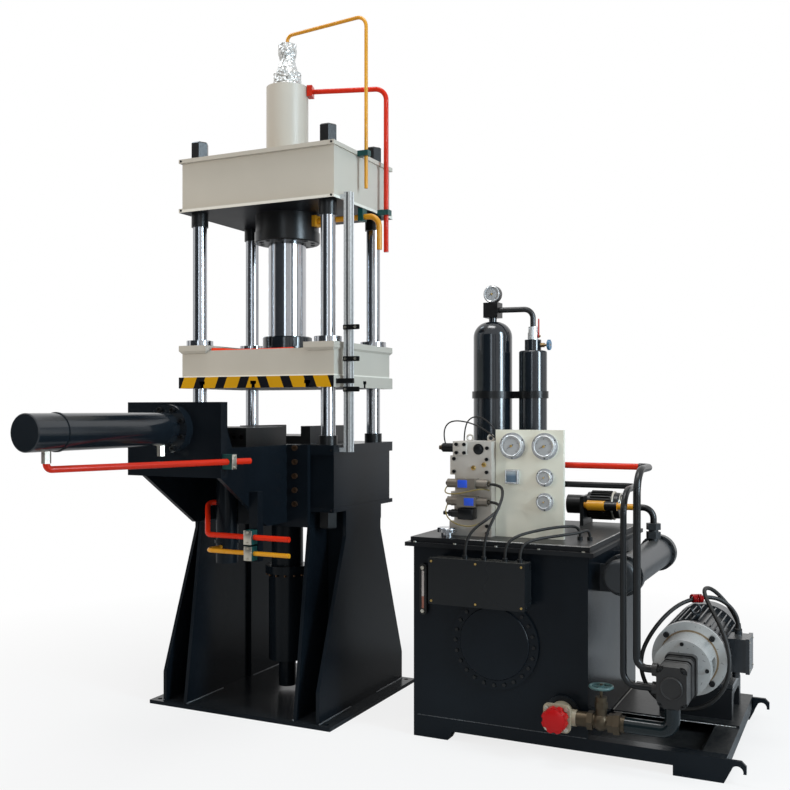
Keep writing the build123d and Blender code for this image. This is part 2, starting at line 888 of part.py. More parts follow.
head_x = right_edge + RISER_STAND_OFF
head_pipe_z = barrel_top - HEAD_PIPE_BELOW_TOP - FLANGE_BLOCK / 4
head_run = Vector(head_x, HEAD_RISER_Y, 0).normalized()
head_start = head_run * (BARREL_DIA / 2)
with BuildPart() as head_pipe:
    bent_pipe(
        (
            (head_start.X, head_start.Y, head_pipe_z),
            (head_x, HEAD_RISER_Y, head_pipe_z),
            (head_x, HEAD_RISER_Y, head_pipe_z - HEAD_PIPE_DROP),
        ),
        PIPE_BEND,
        HEAD_PIPE_DIA,
    )
    flange_plane = Plane(origin=(head_start.X, head_start.Y, head_pipe_z), z_dir=head_run)
    with BuildSketch(flange_plane):
        Rectangle(FLANGE_BLOCK, FLANGE_BLOCK)
    extrude(amount=FLANGE_BLOCK / 2)
    rod((0, 0, head_pipe_z - FLANGE_BLOCK), (0, 0, 1), BARREL_DIA + 2 * SEAT_FIT,
        2 * FLANGE_BLOCK, Mode.SUBTRACT)

gland_x = right_edge + GLAND_RISER_STAND_OFF
gland_pipe_z = beam_low - GLAND_PIPE_BELOW_BEAM
with BuildPart() as gland_pipe:
    bent_pipe(
        (
            (GLAND_DIA / 2, GLAND_RISER_Y, gland_pipe_z),
            (gland_x, GLAND_RISER_Y, gland_pipe_z),
            (gland_x, GLAND_RISER_Y, gland_pipe_z - GLAND_PIPE_DROP),
        ),
        PIPE_BEND,
        GLAND_PIPE_DIA,
    )
    slab(
        GLAND_DIA / 2 - FLANGE_BLOCK / 4, GLAND_DIA / 2 + FLANGE_BLOCK / 3, GLAND_RISER_Y - FLANGE_BLOCK / 2,
        GLAND_RISER_Y + FLANGE_BLOCK / 2, gland_pipe_z - FLANGE_BLOCK / 2, gland_pipe_z + FLANGE_BLOCK / 2,
    )
    rod((0, 0, gland_low), (0, 0, 1), GLAND_DIA + 2 * SEAT_FIT, beam_low - gland_low, Mode.SUBTRACT)


# Clamps that hold the risers to the plates' right edges and the gland pipe to the beam
def riser_clamp(x, y, z, diameter):
    """A block from the plate edge round a riser."""
    slab(right_edge, x + diameter / 2 + CLAMP_WALL, y - diameter / 2 - CLAMP_WALL,
         y + diameter / 2 + CLAMP_WALL, z, z + CLAMP_WIDTH)
    rod((x, y, z), (0, 0, 1), diameter + 2 * SEAT_FIT, CLAMP_WIDTH, Mode.SUBTRACT)


with BuildPart() as riser_clamps:
    riser_clamp(prefill_x, PREFILL_RISER_Y, beam_top - CLAMP_WIDTH, PREFILL_PIPE_DIA)
    riser_clamp(head_x, HEAD_RISER_Y, beam_low - CLAMP_WIDTH / 3, HEAD_PIPE_DIA)
    slab(
        right_edge - CLAMP_WIDTH, right_edge, GLAND_RISER_Y - GLAND_PIPE_DIA / 2 - CLAMP_WALL,
        GLAND_RISER_Y + GLAND_PIPE_DIA / 2 + CLAMP_WALL,
        gland_pipe_z - GLAND_PIPE_DIA / 2 - CLAMP_WALL, beam_low,
    )
    rod((right_edge - CLAMP_WIDTH, GLAND_RISER_Y, gland_pipe_z), (1, 0, 0),
        GLAND_PIPE_DIA + 2 * SEAT_FIT, CLAMP_WIDTH, Mode.SUBTRACT)


# Switch rail: a slotted aluminium profile with two brackets to the press
rail_x = right_edge + RAIL_STAND_OFF + RAIL_SIDE / 2
rail_low = table_top - RAIL_BELOW_TABLE_TOP
rail_top = beam_low + RAIL_ABOVE_BEAM_FOOT
with BuildPart() as switch_rail:
    with BuildSketch(Plane.XY.offset(rail_low)):
        with Locations((rail_x, rail_y)):
            Rectangle(RAIL_SIDE, RAIL_SIDE)
            with PolarLocations(RAIL_SIDE / 2 - RAIL_SLOT_DEEP / 2, 4):
                Rectangle(RAIL_SLOT_DEEP, RAIL_SLOT, mode=Mode.SUBTRACT)
    extrude(amount=rail_top - rail_low)
    for seat_low, seat_high in ((rail_low, table_top), (beam_low, rail_top)):
        bracket_high = min(seat_high, seat_low + TOP_BEAM_PLATE)
        slab(right_edge, rail_x - RAIL_SIDE / 2, rail_y - RAIL_SIDE / 2, rail_y + RAIL_SIDE / 2,
             seat_low, bracket_high)
write_piece(switch_rail, "switch_rail")

rail_front = rail_y - RAIL_SIDE / 2
with BuildPart() as switch_brackets:
    for height in [table_top + rise for rise in SWITCHES_ABOVE_TABLE]:
        with BuildSketch(Plane.XZ.offset(-rail_front)):
            with Locations((rail_x - RAIL_SIDE / 2 + SWITCH_LENGTH / 2, height)):
                RectangleRounded(SWITCH_LENGTH, SWITCH_HEIGHT, SWITCH_ROUND)
        extrude(amount=SWITCH_THICK)
write_piece(switch_brackets, "switch_brackets")


# Moving platen: a T-slotted face plate, a box body and a flared pad along each end
with BuildPart() as moving_platen:
    with BuildSketch(Plane.XY.offset(platen_body_low)):
        Rectangle(body_length, body_depth)
    extrude(amount=PLATEN_BODY)
    with BuildSketch(Plane.XY.offset(platen_deck)):
        with GridLocations(BEAM_LENGTH - PAD_LENGTH, 0, 2, 1):
            Rectangle(PAD_LENGTH, BEAM_DEPTH)
    extrude(amount=PLATEN_PAD)
    with BuildSketch(Plane.XY.offset(platen_deck)):
        with GridLocations(BEAM_LENGTH - PAD_LENGTH, 0, 2, 1):
            Rectangle(PAD_LENGTH, BEAM_DEPTH)
    extrude(amount=-PAD_BEVEL, taper=PAD_FLARE)
    with BuildSketch(Plane.XY.offset(platen_low)):
        Rectangle(BEAM_LENGTH, BEAM_DEPTH)
    extrude(amount=PLATEN_FACE)
    with BuildSketch(Plane.XY.offset(platen_low)):
        with column_places():
            Circle(BUSH_BODY_DIA / 2 + SEAT_FIT)
    extrude(amount=platen_top - platen_low, mode=Mode.SUBTRACT)
    with BuildSketch(Plane.XZ.offset(-BEAM_DEPTH / 2)):
        with Locations((0, platen_low)):
            with GridLocations(t_slot_pitch, 0, 3, 1):
                with Locations((0, T_SLOT_LIP / 2)):
                    Rectangle(T_SLOT_NECK, T_SLOT_LIP)
                with Locations((0, (T_SLOT_LIP + T_SLOT_DEEP) / 2)):
                    Rectangle(T_SLOT_HEAD, T_SLOT_DEEP - T_SLOT_LIP)
    extrude(amount=BEAM_DEPTH, mode=Mode.SUBTRACT)
    with BuildSketch(Plane.YZ.offset(-BEAM_LENGTH / 2)):
        with Locations((0, platen_low + T_SLOT_LIP / 2)):
            Rectangle(T_SLOT_NECK, T_SLOT_LIP)
        with Locations((0, platen_low + (T_SLOT_LIP + T_SLOT_DEEP) / 2)):
            Rectangle(T_SLOT_HEAD, T_SLOT_DEEP - T_SLOT_LIP)
    extrude(amount=BEAM_LENGTH, mode=Mode.SUBTRACT)
write_piece(moving_platen, "moving_platen")

with BuildPart() as guide_bushes:
    with BuildSketch(Plane.XY.offset(platen_low)):
        with column_places():
            Circle(BUSH_BODY_DIA / 2)
    extrude(amount=platen_top - platen_low)
    with BuildSketch(Plane.XY.offset(platen_top)):
        with column_places():
            Circle(BUSH_FLANGE_DIA / 2)
    extrude(amount=BUSH_FLANGE)
    with BuildSketch(Plane.XY.offset(platen_low)):
        with column_places():
            Circle(COLUMN_DIA / 2 + COLUMN_FIT)
    extrude(amount=platen_top + BUSH_FLANGE - platen_low, mode=Mode.SUBTRACT)
write_piece(guide_bushes, "guide_bushes")

with BuildPart() as main_ram:
    rod((0, 0, platen_deck), (0, 0, 1), RAM_DIA, RAM_LENGTH)
write_piece(main_ram, "main_ram")

with BuildPart() as ram_flange:
    with BuildSketch(Plane.XY.offset(platen_deck)):
        Circle(RAM_FLANGE_DIA / 2)
        Circle(RAM_DIA / 2 + COLUMN_FIT, mode=Mode.SUBTRACT)
    extrude(amount=RAM_FLANGE_HEIGHT)
    top_circles = edges().filter_by(GeomType.CIRCLE).group_by(Axis.Z)[-1]
    chamfer(top_circles.sort_by(SortBy.RADIUS)[-1], RAM_FLANGE_BEVEL)
    with BuildSketch(Plane.XY.offset(platen_deck + RAM_FLANGE_HEIGHT / 3)):
        with PolarLocations(RAM_FLANGE_DIA / 2, SPANNER_SLOTS, start_angle=20):
            Rectangle(2 * SPANNER_DEEP, SPANNER_WIDTH)
    extrude(amount=RAM_FLANGE_HEIGHT, mode=Mode.SUBTRACT)
write_piece(ram_flange, "ram_flange")

trigger_back = rail_front - SWITCH_THICK - TRIGGER_GAP
trigger_z = platen_low + (PLATEN_FACE - TRIGGER_HEIGHT) / 2
with BuildPart() as switch_trigger:
    slab(right_edge, right_edge + TRIGGER_LENGTH, trigger_back - TRIGGER_THICK, trigger_back,
         trigger_z, trigger_z + TRIGGER_HEIGHT)
write_piece(switch_trigger, "switch_trigger")


# Side bracket: back plate on the table, two gussets, a deck and a thick face plate
bracket_back_front = front_edge - BRACKET_BACK_THICK
face_back = bracket_back_front - BRACKET_REACH
face_front = face_back - BRACKET_FACE_THICK
deck_top = table_top
deck_low = deck_top - DECK_THICK
post_front = front_edge - POST_FRONT
with BuildPart() as side_bracket:
    slab(-BRACKET_BACK_HALF, BRACKET_BACK_HALF, bracket_back_front, front_edge,
         table_top - BRACKET_BACK_HEIGHT, table_top)
    for plate_x in (-GUSSET_HALF, GUSSET_HALF - GUSSET_PLATE):
        with BuildSketch(Plane.YZ.offset(plate_x)):
            with BuildLine():
                Polyline(
                    (face_back, gusset_front_low),
                    (face_back, deck_low),
                    (bracket_back_front, deck_low),
                    (bracket_back_front, gusset_low),
                    (bracket_back_front - GUSSET_LEVEL, gusset_low),
                    close=True,
                )
            make_face()
            with BuildLine():
                Polyline(
                    (face_back, deck_top),
                    (face_back, bracket_face_high),
                    (face_back + GUSSET_UPPER, deck_top),
                    close=True,
                )
            make_face()
        extrude(amount=GUSSET_PLATE)
    slab(-GUSSET_HALF, GUSSET_HALF, face_back, bracket_back_front, deck_low, deck_top)
    slab(-BRACKET_FACE_HALF, BRACKET_FACE_HALF, face_front, face_back, bracket_face_low, bracket_face_high)
    rod((0, face_front, side_axis_z), (0, 1, 0), SIDE_ROD_DIA + 2 * SEAT_FIT,
        BRACKET_FACE_THICK, Mode.SUBTRACT)
    slab(GUSSET_HALF, GUSSET_HALF + POST_SIDE, post_front, post_front + POST_SIDE, post_low, post_high)
write_piece(side_bracket, "side_bracket")


# Slide block on the deck with the plate that couples it to the side rod
slide_back = front_edge - SLIDE_GAP
slide_front = slide_back - SLIDE_LENGTH
coupling_front = slide_front - COUPLING_THICK
with BuildPart() as slide_block:
    slab(-SLIDE_HALF, SLIDE_HALF, slide_front, slide_back, deck_top, deck_top + SLIDE_HEIGHT)
    slab(-COUPLING_HALF, COUPLING_HALF, coupling_front, slide_front, deck_top,
         deck_top + SLIDE_HEIGHT + COUPLING_RISE)
    for hole_x in (-SLIDE_HOLE_X, SLIDE_HOLE_X):
        with Locations((hole_x, slide_front, deck_top + SLIDE_HEIGHT / 2)):
            with Locations(Rotation(90, 0, 0)):
                with GridLocations(SLIDE_HOLE_PITCH, 0, 2, 1):
                    Cylinder(SLIDE_HOLE_DIA / 2, 2 * SLIDE_HOLE_DIA, mode=Mode.SUBTRACT)
write_piece(slide_block, "slide_block")

die_half = CLAMP_RAIL_X - CLAMP_RAIL_WIDTH / 2
with BuildPart() as die_clamps:
    with BuildSketch(Plane.XY.offset(table_top)):
        with Locations((0, CLAMP_RAIL_FRONT + CLAMP_RAIL_LENGTH / 2)):
            with GridLocations(2 * CLAMP_RAIL_X, 0, 2, 1):
                Rectangle(CLAMP_RAIL_WIDTH, CLAMP_RAIL_LENGTH)
    extrude(amount=SLIDE_HEIGHT)
    slab(-die_half, die_half, CLAMP_RAIL_FRONT, CLAMP_RAIL_FRONT + CLAMP_RAIL_LENGTH,
         table_top, table_top + DIE_PLATE_HEIGHT)
write_piece(die_clamps, "die_clamps")


# Side cylinder along Y: flange, barrel, weld ring, end cap and rod
side_flange_front = face_front - SIDE_FLANGE
side_end = side_flange_front - SIDE_LENGTH
with BuildPart() as side_cylinder:
    rod((0, face_front, side_axis_z), (0, -1, 0), SIDE_FLANGE_DIA, SIDE_FLANGE)
    rod((0, side_flange_front, side_axis_z), (0, -1, 0), SIDE_DIA, SIDE_LENGTH)
    rod((0, side_end + SIDE_CAP, side_axis_z), (0, -1, 0), SIDE_RING_DIA, SIDE_RING)
    rod((0, face_front, side_axis_z), (0, 1, 0), SIDE_ROD_DIA, coupling_front - face_front)
    chamfer(edges().filter_by(GeomType.CIRCLE).group_by(Axis.Y)[0], SIDE_BEVEL)
write_piece(side_cylinder, "side_cylinder")

side_port_y = side_end + SIDE_PORT_IN
side_port_top = side_axis_z - SIDE_DIA / 2
with BuildPart() as side_fittings:
    for port_y in (side_port_y, side_flange_front - SIDE_PORT_DIA):
        with BuildSketch(Plane.XY.offset(side_port_top - SIDE_PORT_DROP)):
            with Locations((0, port_y)):
                RegularPolygon(SIDE_PORT_DIA / 2, 6)
        extrude(until=Until.NEXT, target=side_cylinder.part)
write_piece(side_fittings, "side_fittings")

side_clamp_x = BRACKET_FACE_HALF + SIDE_CLAMP_STAND_OFF
side_clamp_y = (face_front + face_back) / 2
side_start = Vector(0, side_port_y, side_pipe_z)
side_run = Vector(side_clamp_x, side_clamp_y - side_port_y, 0).normalized()
side_finish = Vector(side_clamp_x, side_clamp_y, side_pipe_z) + side_run * SIDE_PIPE_PAST_CLAMP
with BuildPart() as side_pipe:
    bent_pipe(
        ((0, side_port_y, side_port_top - SIDE_PORT_DROP), side_start, side_finish),
        SIDE_PIPE_BEND,
        SIDE_PIPE_DIA,
    )


# Ejector cylinder hung under the deck, with its pipes and their post
eject_y = front_edge - EJECT_FORWARD
eject_pipe_y = post_front - EJECT_RED_DIA
with BuildPart() as ejector_cylinder:
    rod((0, eject_y, eject_low), (0, 0, 1), EJECT_DIA, deck_low - eject_low)
    rod((0, eject_y, eject_ring_z), (0, 0, 1), EJECT_RING_DIA, EJECT_RING)
    rod((0, eject_y, deck_low - EJECT_RING), (0, 0, 1), EJECT_RING_DIA, EJECT_RING)
write_piece(ejector_cylinder, "ejector_cylinder")


with BuildPart() as ejector_red_pipe:
    port_way = Vector(-cos(radians(EJECT_PORT_TURN)), -sin(radians(EJECT_PORT_TURN)), 0)
    red_port = Vector(0, eject_y, eject_red_port_z) + port_way * (EJECT_DIA / 2)
    red_elbow = red_port + port_way * EJECT_PIPE_SIDE
    bent_pipe(
        (
            red_port,
            red_elbow,
            (red_elbow.X + EJECT_RED_SWING, eject_pipe_y, eject_red_z),
            (EJECT_PIPE_END, eject_pipe_y, eject_red_z),
        ),
        EJECT_PIPE_BEND,
        EJECT_RED_DIA,
    )
    rod((0, eject_y, eject_low), (0, 0, 1), EJECT_DIA + 2 * SEAT_FIT, deck_low - eject_low, Mode.SUBTRACT)

with BuildPart() as ejector_yellow_pipe:
    bent_pipe(
        (
            (0, eject_y - EJECT_DIA / 2, eject_yellow_z),
            (0, eject_pipe_y, eject_yellow_z),
            (EJECT_PIPE_END, eject_pipe_y, eject_yellow_z),
        ),
        EJECT_PIPE_BEND,
        EJECT_YELLOW_DIA,
    )
    rod((0, eject_y, eject_low), (0, 0, 1), EJECT_DIA + 2 * SEAT_FIT, deck_low - eject_low, Mode.SUBTRACT)

with BuildPart() as front_clamps:
    post_mid = GUSSET_HALF + POST_SIDE / 2
    for pipe_z, pipe_dia in ((eject_red_z, EJECT_RED_DIA), (eject_yellow_z, EJECT_YELLOW_DIA)):
        slab(post_mid - FRONT_CLAMP_WIDTH / 2, post_mid + FRONT_CLAMP_WIDTH / 2,
             eject_pipe_y - pipe_dia / 2 - CLAMP_WALL, post_front,
             pipe_z - FRONT_CLAMP_HEIGHT / 2, pipe_z + FRONT_CLAMP_HEIGHT / 2)
        rod((post_mid - FRONT_CLAMP_WIDTH / 2, eject_pipe_y, pipe_z), (1, 0, 0),
            pipe_dia + 2 * SEAT_FIT, FRONT_CLAMP_WIDTH, Mode.SUBTRACT)
    slab(BRACKET_FACE_HALF, side_clamp_x + SIDE_PIPE_DIA / 2 + CLAMP_WALL, face_front + CLAMP_WALL,
         face_back - CLAMP_WALL, side_pipe_z - FRONT_CLAMP_HEIGHT / 2,
         side_pipe_z + FRONT_CLAMP_HEIGHT / 2)
    bore_start = Vector(side_clamp_x, side_clamp_y, side_pipe_z) - side_run * BRACKET_FACE_THICK
    rod(bore_start, side_run, SIDE_PIPE_DIA + 2 * SEAT_FIT, 2 * BRACKET_FACE_THICK, Mode.SUBTRACT)


# Injection cylinder hung under the table on the press axis
with BuildPart() as injection_cylinder:
    rod((0, 0, table_low - SHOT_TOP_FLANGE), (0, 0, 1), SHOT_TOP_FLANGE_DIA, SHOT_TOP_FLANGE)
    rod((0, 0, shot_flange_z), (0, 0, 1), SHOT_NECK_DIA, table_low - SHOT_TOP_FLANGE - shot_flange_z)
    rod((0, 0, shot_flange_z), (0, 0, 1), SHOT_FLANGE_DIA, SHOT_FLANGE)
    rod((0, 0, SHOT_TUBE_LOW), (0, 0, 1), SHOT_DIA, shot_flange_z - SHOT_TUBE_LOW)
    rod((0, 0, SHOT_TAIL_LOW), (0, 0, 1), SHOT_TAIL_DIA, SHOT_TUBE_LOW - SHOT_TAIL_LOW)
write_piece(injection_cylinder, "injection_cylinder")


# Skid of the power unit: two channel rails on sloped feet, joined by end members
def rail_section(inward):
    """A channel that opens inward; inward is +1 for the front rail."""
    Rectangle(SKID_FLANGE, SKID_RAIL, align=(Align.MIN if inward > 0 else Align.MAX, Align.MIN))
    with Locations((inward * SKID_SHEET, SKID_SHEET)):
        Rectangle(SKID_FLANGE, SKID_RAIL - 2 * SKID_SHEET,
                  align=(Align.MIN if inward > 0 else Align.MAX, Align.MIN), mode=Mode.SUBTRACT)


def skid_foot(y0, y1):
    """Two pads under a rail, each as deep as the rail; the right one leans out below its hook."""
    with BuildSketch(Plane.XZ.offset(-y0)) as pads:
        with BuildLine():
            Polyline(
                (SKID_X0, 0),
                (SKID_X0 + LEFT_FOOT_LENGTH, 0),
                (SKID_X0 + LEFT_FOOT_LENGTH + FOOT_SLOPE, SKID_FOOT),
                (SKID_X0, SKID_FOOT),
                close=True,
            )
        make_face()
        with BuildLine():
            Polyline(
                (skid_x1 - FOOT_INSET, 0),
                (skid_x1 - RIGHT_FOOT_LENGTH, 0),
                (skid_x1 - RIGHT_FOOT_LENGTH, SKID_FOOT),
                (skid_x1 - FOOT_INSET + FOOT_LEAN * SKID_FOOT, SKID_FOOT),
                close=True,
            )
        make_face()
    extrude(pads.sketch, amount=-(y1 - y0))


def lifting_hook(y0, y1):
    """An arm past the right end of a rail, notched round and dropped at its nose."""
    with BuildSketch(Plane.XZ.offset(-y0)) as arm:
        with BuildLine():
            nose_x = skid_x1 + HOOK_REACH - HOOK_NOSE
            throat_x = skid_x1 - FOOT_INSET + FOOT_LEAN * HOOK_THROAT
            arm_edge = Polyline(
                (throat_x, HOOK_THROAT),
                (skid_x1 - FOOT_INSET + FOOT_LEAN * SKID_FOOT, SKID_FOOT),
                (skid_x1, SKID_FOOT),
                (skid_x1, skid_top),
                (skid_x1 + HOOK_REACH - HOOK_NOSE, skid_top),
                (skid_x1 + HOOK_REACH, skid_top - HOOK_NOSE),
                (skid_x1 + HOOK_REACH, skid_top - HOOK_DROP),
                (nose_x + HOOK_NOSE / 3, skid_top - HOOK_DROP),
            )
            ThreePointArc(
                arm_edge @ 1,
                ((throat_x + nose_x) / 2, HOOK_THROAT + HOOK_NOSE / 3),
                arm_edge @ 0,
            )
        make_face()
    extrude(arm.sketch, amount=-(y1 - y0))


with BuildPart() as skid_rails:
    with BuildSketch(Plane.YZ.offset(SKID_X0)):
        with Locations((SKID_Y0, SKID_FOOT)):
            rail_section(1)
    extrude(amount=SKID_LENGTH)
    skid_foot(SKID_Y0, SKID_Y0 + SKID_FLANGE)
    lifting_hook(SKID_Y0, SKID_Y0 + HOOK_PLATE)
    with BuildSketch(Plane.YZ.offset(SKID_X0)):
        with Locations((skid_y1, SKID_FOOT)):
            rail_section(-1)
    extrude(amount=SKID_LENGTH)
    skid_foot(skid_y1 - SKID_FLANGE, skid_y1)
    lifting_hook(skid_y1 - HOOK_PLATE, skid_y1)
write_piece(skid_rails, "skid_rails")

with BuildPart() as skid_cross_members:
    for member_x in (SKID_X0, tank_x1 - END_MEMBER, skid_x1 - END_MEMBER):
        slab(member_x, member_x + END_MEMBER, SKID_Y0 + SKID_FLANGE, skid_y1 - SKID_FLANGE,
             SKID_FOOT, skid_top)
        slab(member_x + SKID_SHEET, member_x + END_MEMBER - SKID_SHEET, SKID_Y0 + SKID_FLANGE,
             skid_y1 - SKID_FLANGE, SKID_FOOT, skid_top - SKID_SHEET, Mode.SUBTRACT)
    slab(tank_x1 - SKID_SHEET, skid_x1 - END_MEMBER + SKID_SHEET,
         SKID_Y0 + SKID_FLANGE, skid_y1 - SKID_FLANGE, SKID_FOOT, SKID_FOOT + SKID_SHEET)
write_piece(skid_cross_members, "skid_cross_members")


# Motor platform and stand
platform_top = skid_top + PLATFORM_THICK
stand_x0 = MOTOR_X - STAND_LENGTH / 2
with BuildPart() as motor_stand:
    slab(tank_x1, skid_x1, PLATFORM_FRONT, skid_y1, skid_top, platform_top)
    slab(stand_x0, stand_x0 + STAND_LENGTH, STAND_FRONT, STAND_FRONT + STAND_DEPTH,
         platform_top, platform_top + STAND_HEIGHT)
    tunnel_width = STAND_DEPTH - 2 * STAND_WALL
    tunnel_height = STAND_HEIGHT - STAND_WALL / 2
    with BuildSketch(Plane.YZ.offset(stand_x0)):
        with Locations((STAND_FRONT + STAND_DEPTH / 2, platform_top)):
            Rectangle(tunnel_width, tunnel_height, align=(Align.CENTER, Align.MIN))
            chamfer(vertices().group_by(Axis.Y)[-1], STAND_WALL / 2)
    extrude(amount=STAND_LENGTH, mode=Mode.SUBTRACT)
write_piece(motor_stand, "motor_stand")


# Oil tank: a welded shell with a manhole in its front, closed by a stepped lid
with BuildPart() as oil_tank:
    slab(SKID_X0, tank_x1, SKID_Y0, tank_y1, skid_top, tank_top)
    slab(SKID_X0 + TANK_WALL, tank_x1 - TANK_WALL, SKID_Y0 + TANK_WALL, tank_y1 - TANK_WALL,
         skid_top + TANK_WALL, tank_top, Mode.SUBTRACT)
    rod((MANHOLE_X, SKID_Y0, MANHOLE_Z), (0, 1, 0), MANHOLE_DIA, TANK_WALL, Mode.SUBTRACT)
write_piece(oil_tank, "oil_tank")

with BuildPart() as tank_lid:
    slab(SKID_X0 - LID_RIM, tank_x1 + LID_RIM, SKID_Y0 - LID_RIM, tank_y1 + LID_RIM,
         tank_top, tank_top + LID_RIM_THICK)
    slab(SKID_X0 - LID_RIM + LID_INSET, tank_x1 + LID_RIM - LID_INSET, SKID_Y0 - LID_RIM + LID_INSET,
         tank_y1 + LID_RIM - LID_INSET, tank_top + LID_RIM_THICK, lid_top)
    for route in LEAD_ROUTES[2:]:
        lid_gland_x, lid_gland_y, _ = route[-1]
        rod((lid_gland_x, lid_gland_y, lid_top), (0, 0, 1), LEAD_GLAND_DIA, LEAD_GLAND)
write_piece(tank_lid, "tank_lid")

with BuildPart() as manhole_cover:
    rod((MANHOLE_X, SKID_Y0, MANHOLE_Z), (0, -1, 0), MANHOLE_COVER_DIA, MANHOLE_COVER)
    rod((MANHOLE_X, SKID_Y0 - MANHOLE_COVER, MANHOLE_Z), (0, -1, 0), MANHOLE_DIA, MANHOLE_DISH)
    chamfer(edges().filter_by(GeomType.CIRCLE).group_by(Axis.Y)[0], MANHOLE_DISH / 2)
write_piece(manhole_cover, "manhole_cover")

with BuildPart() as junction_box:
    slab(BOX_X0, BOX_X0 + BOX_LENGTH, SKID_Y0 - BOX_DEPTH + BOX_LID, SKID_Y0 - BOX_STAND_OFF,
         BOX_Z0, BOX_Z0 + BOX_HEIGHT)
    slab(BOX_X0 - BOX_LID_LIP, BOX_X0 + BOX_LENGTH + BOX_LID_LIP,
         SKID_Y0 - BOX_DEPTH, SKID_Y0 - BOX_DEPTH + BOX_LID,
         BOX_Z0 - BOX_LID_LIP, BOX_Z0 + BOX_HEIGHT + BOX_LID_LIP)
    fillet(edges().filter_by(Axis.Y), BOX_LID_LIP)
    for spacer_x in (BOX_X0 + BOX_SPACER, BOX_X0 + BOX_LENGTH - 2 * BOX_SPACER):
        slab(spacer_x, spacer_x + BOX_SPACER, SKID_Y0 - BOX_STAND_OFF, SKID_Y0,
             MANHOLE_Z + MANHOLE_COVER_DIA / 2 + BOX_SPACER, BOX_Z0 + BOX_HEIGHT)
    for route in LEAD_ROUTES:
        gland_x_on_box, gland_y_on_box, _ = route[0]
        rod((gland_x_on_box, gland_y_on_box, BOX_Z0 + BOX_HEIGHT), (0, 0, 1), LEAD_GLAND_DIA, LEAD_GLAND)
write_piece(junction_box, "junction_box")

with BuildPart() as level_gauge:
    with BuildSketch(Plane.XZ.offset(-SKID_Y0)):
        with Locations((GAUGE_X, LEVEL_Z0 + LEVEL_HEIGHT / 2)):
            SlotOverall(LEVEL_HEIGHT, LEVEL_WIDTH, rotation=90)
    extrude(amount=LEVEL_DEPTH)
write_piece(level_gauge, "level_gauge")


# Suction line: filter with its knob, gate valve with its handwheel, union and pipe
filter_front = SKID_Y0 - FILTER_LENGTH
with BuildPart() as suction_filter:
    rod((FILTER_X, SKID_Y0, SUCTION_Z), (0, -1, 0), FILTER_FLANGE_DIA, FILTER_FLANGE)
    rod((FILTER_X, SKID_Y0, SUCTION_Z), (0, -1, 0), FILTER_BODY_DIA, FILTER_LENGTH)
    with BuildSketch(Plane.XZ.offset(-filter_front - FILTER_SQUARE_THICK)):
        with Locations((FILTER_X, SUCTION_Z)):
            RectangleRounded(FILTER_SQUARE, FILTER_SQUARE, FILTER_SQUARE / 6)
    extrude(amount=FILTER_SQUARE_THICK, dir=(0, -1, 0))
    rod((FILTER_X, suction_y, SUCTION_Z), (1, 0, 0), FILTER_PORT_DIA, FILTER_PORT_LENGTH)
    rod((FILTER_X, filter_front, SUCTION_Z), (0, -1, 0), KNOB_STEM_DIA, KNOB_GAP + KNOB_LENGTH / 2)
write_piece(suction_filter, "suction_filter")

knob_back = filter_front - KNOB_GAP
with BuildPart() as filter_knob:
    with BuildSketch(Plane(origin=(FILTER_X, knob_back, SUCTION_Z), x_dir=(1, 0, 0), z_dir=(0, -1, 0))):
        Circle(KNOB_DIA / 2)
        with PolarLocations(KNOB_DIA / 2 + KNOB_SCOOP / 4, KNOB_LOBES):
            Circle(KNOB_SCOOP / 2, mode=Mode.SUBTRACT)
    extrude(amount=KNOB_LENGTH)
    rod((FILTER_X, knob_back, SUCTION_Z), (0, -1, 0), KNOB_STEM_DIA + 2 * SEAT_FIT,
        KNOB_LENGTH / 2 + SEAT_FIT, Mode.SUBTRACT)
write_piece(filter_knob, "filter_knob")

filter_port_x = FILTER_X + FILTER_PORT_LENGTH
union_x0 = VALVE_X + VALVE_HALF
union_x1 = union_x0 + UNION_LENGTH
with BuildPart() as gate_valve:
    rod((VALVE_X - VALVE_HALF, suction_y, SUCTION_Z), (1, 0, 0), VALVE_BODY_DIA * 0.78, 2 * VALVE_HALF)
    for hex_x in (VALVE_X - VALVE_HALF, VALVE_X + VALVE_HALF - VALVE_HEX_LENGTH):
        with BuildSketch(Plane.YZ.offset(hex_x)):
            with Locations((suction_y, SUCTION_Z)):
                RegularPolygon(VALVE_HEX / 2, 6, major_radius=False)
        extrude(amount=VALVE_HEX_LENGTH)
    with Locations((VALVE_X, suction_y, SUCTION_Z)):
        Sphere(VALVE_BODY_DIA / 2)
    rod((VALVE_X, suction_y, SUCTION_Z), (0, 0, 1), BONNET_DIA, BONNET_HEIGHT)
    with BuildSketch(Plane.XY.offset(SUCTION_Z + BONNET_HEIGHT * 0.55)):
        with Locations((VALVE_X, suction_y)):
            RegularPolygon(BONNET_DIA * 0.58, 6)
    extrude(amount=BONNET_HEIGHT / 4)
    rod((VALVE_X, suction_y, SUCTION_Z), (0, 0, 1), STEM_DIA, WHEEL_Z + WHEEL_RIM - SUCTION_Z)
    rod((filter_port_x, suction_y, SUCTION_Z), (1, 0, 0), SUCTION_PIPE_DIA,
        VALVE_X - VALVE_HALF - filter_port_x)
    with BuildSketch(Plane.YZ.offset(union_x0)):
        with Locations((suction_y, SUCTION_Z)):
            RegularPolygon(UNION_HEX / 2, 6, major_radius=False)
    extrude(amount=UNION_LENGTH * 0.6)
    rod((union_x0, suction_y, SUCTION_Z), (1, 0, 0), UNION_HEX * 0.86, UNION_LENGTH)
write_piece(gate_valve, "gate_valve")

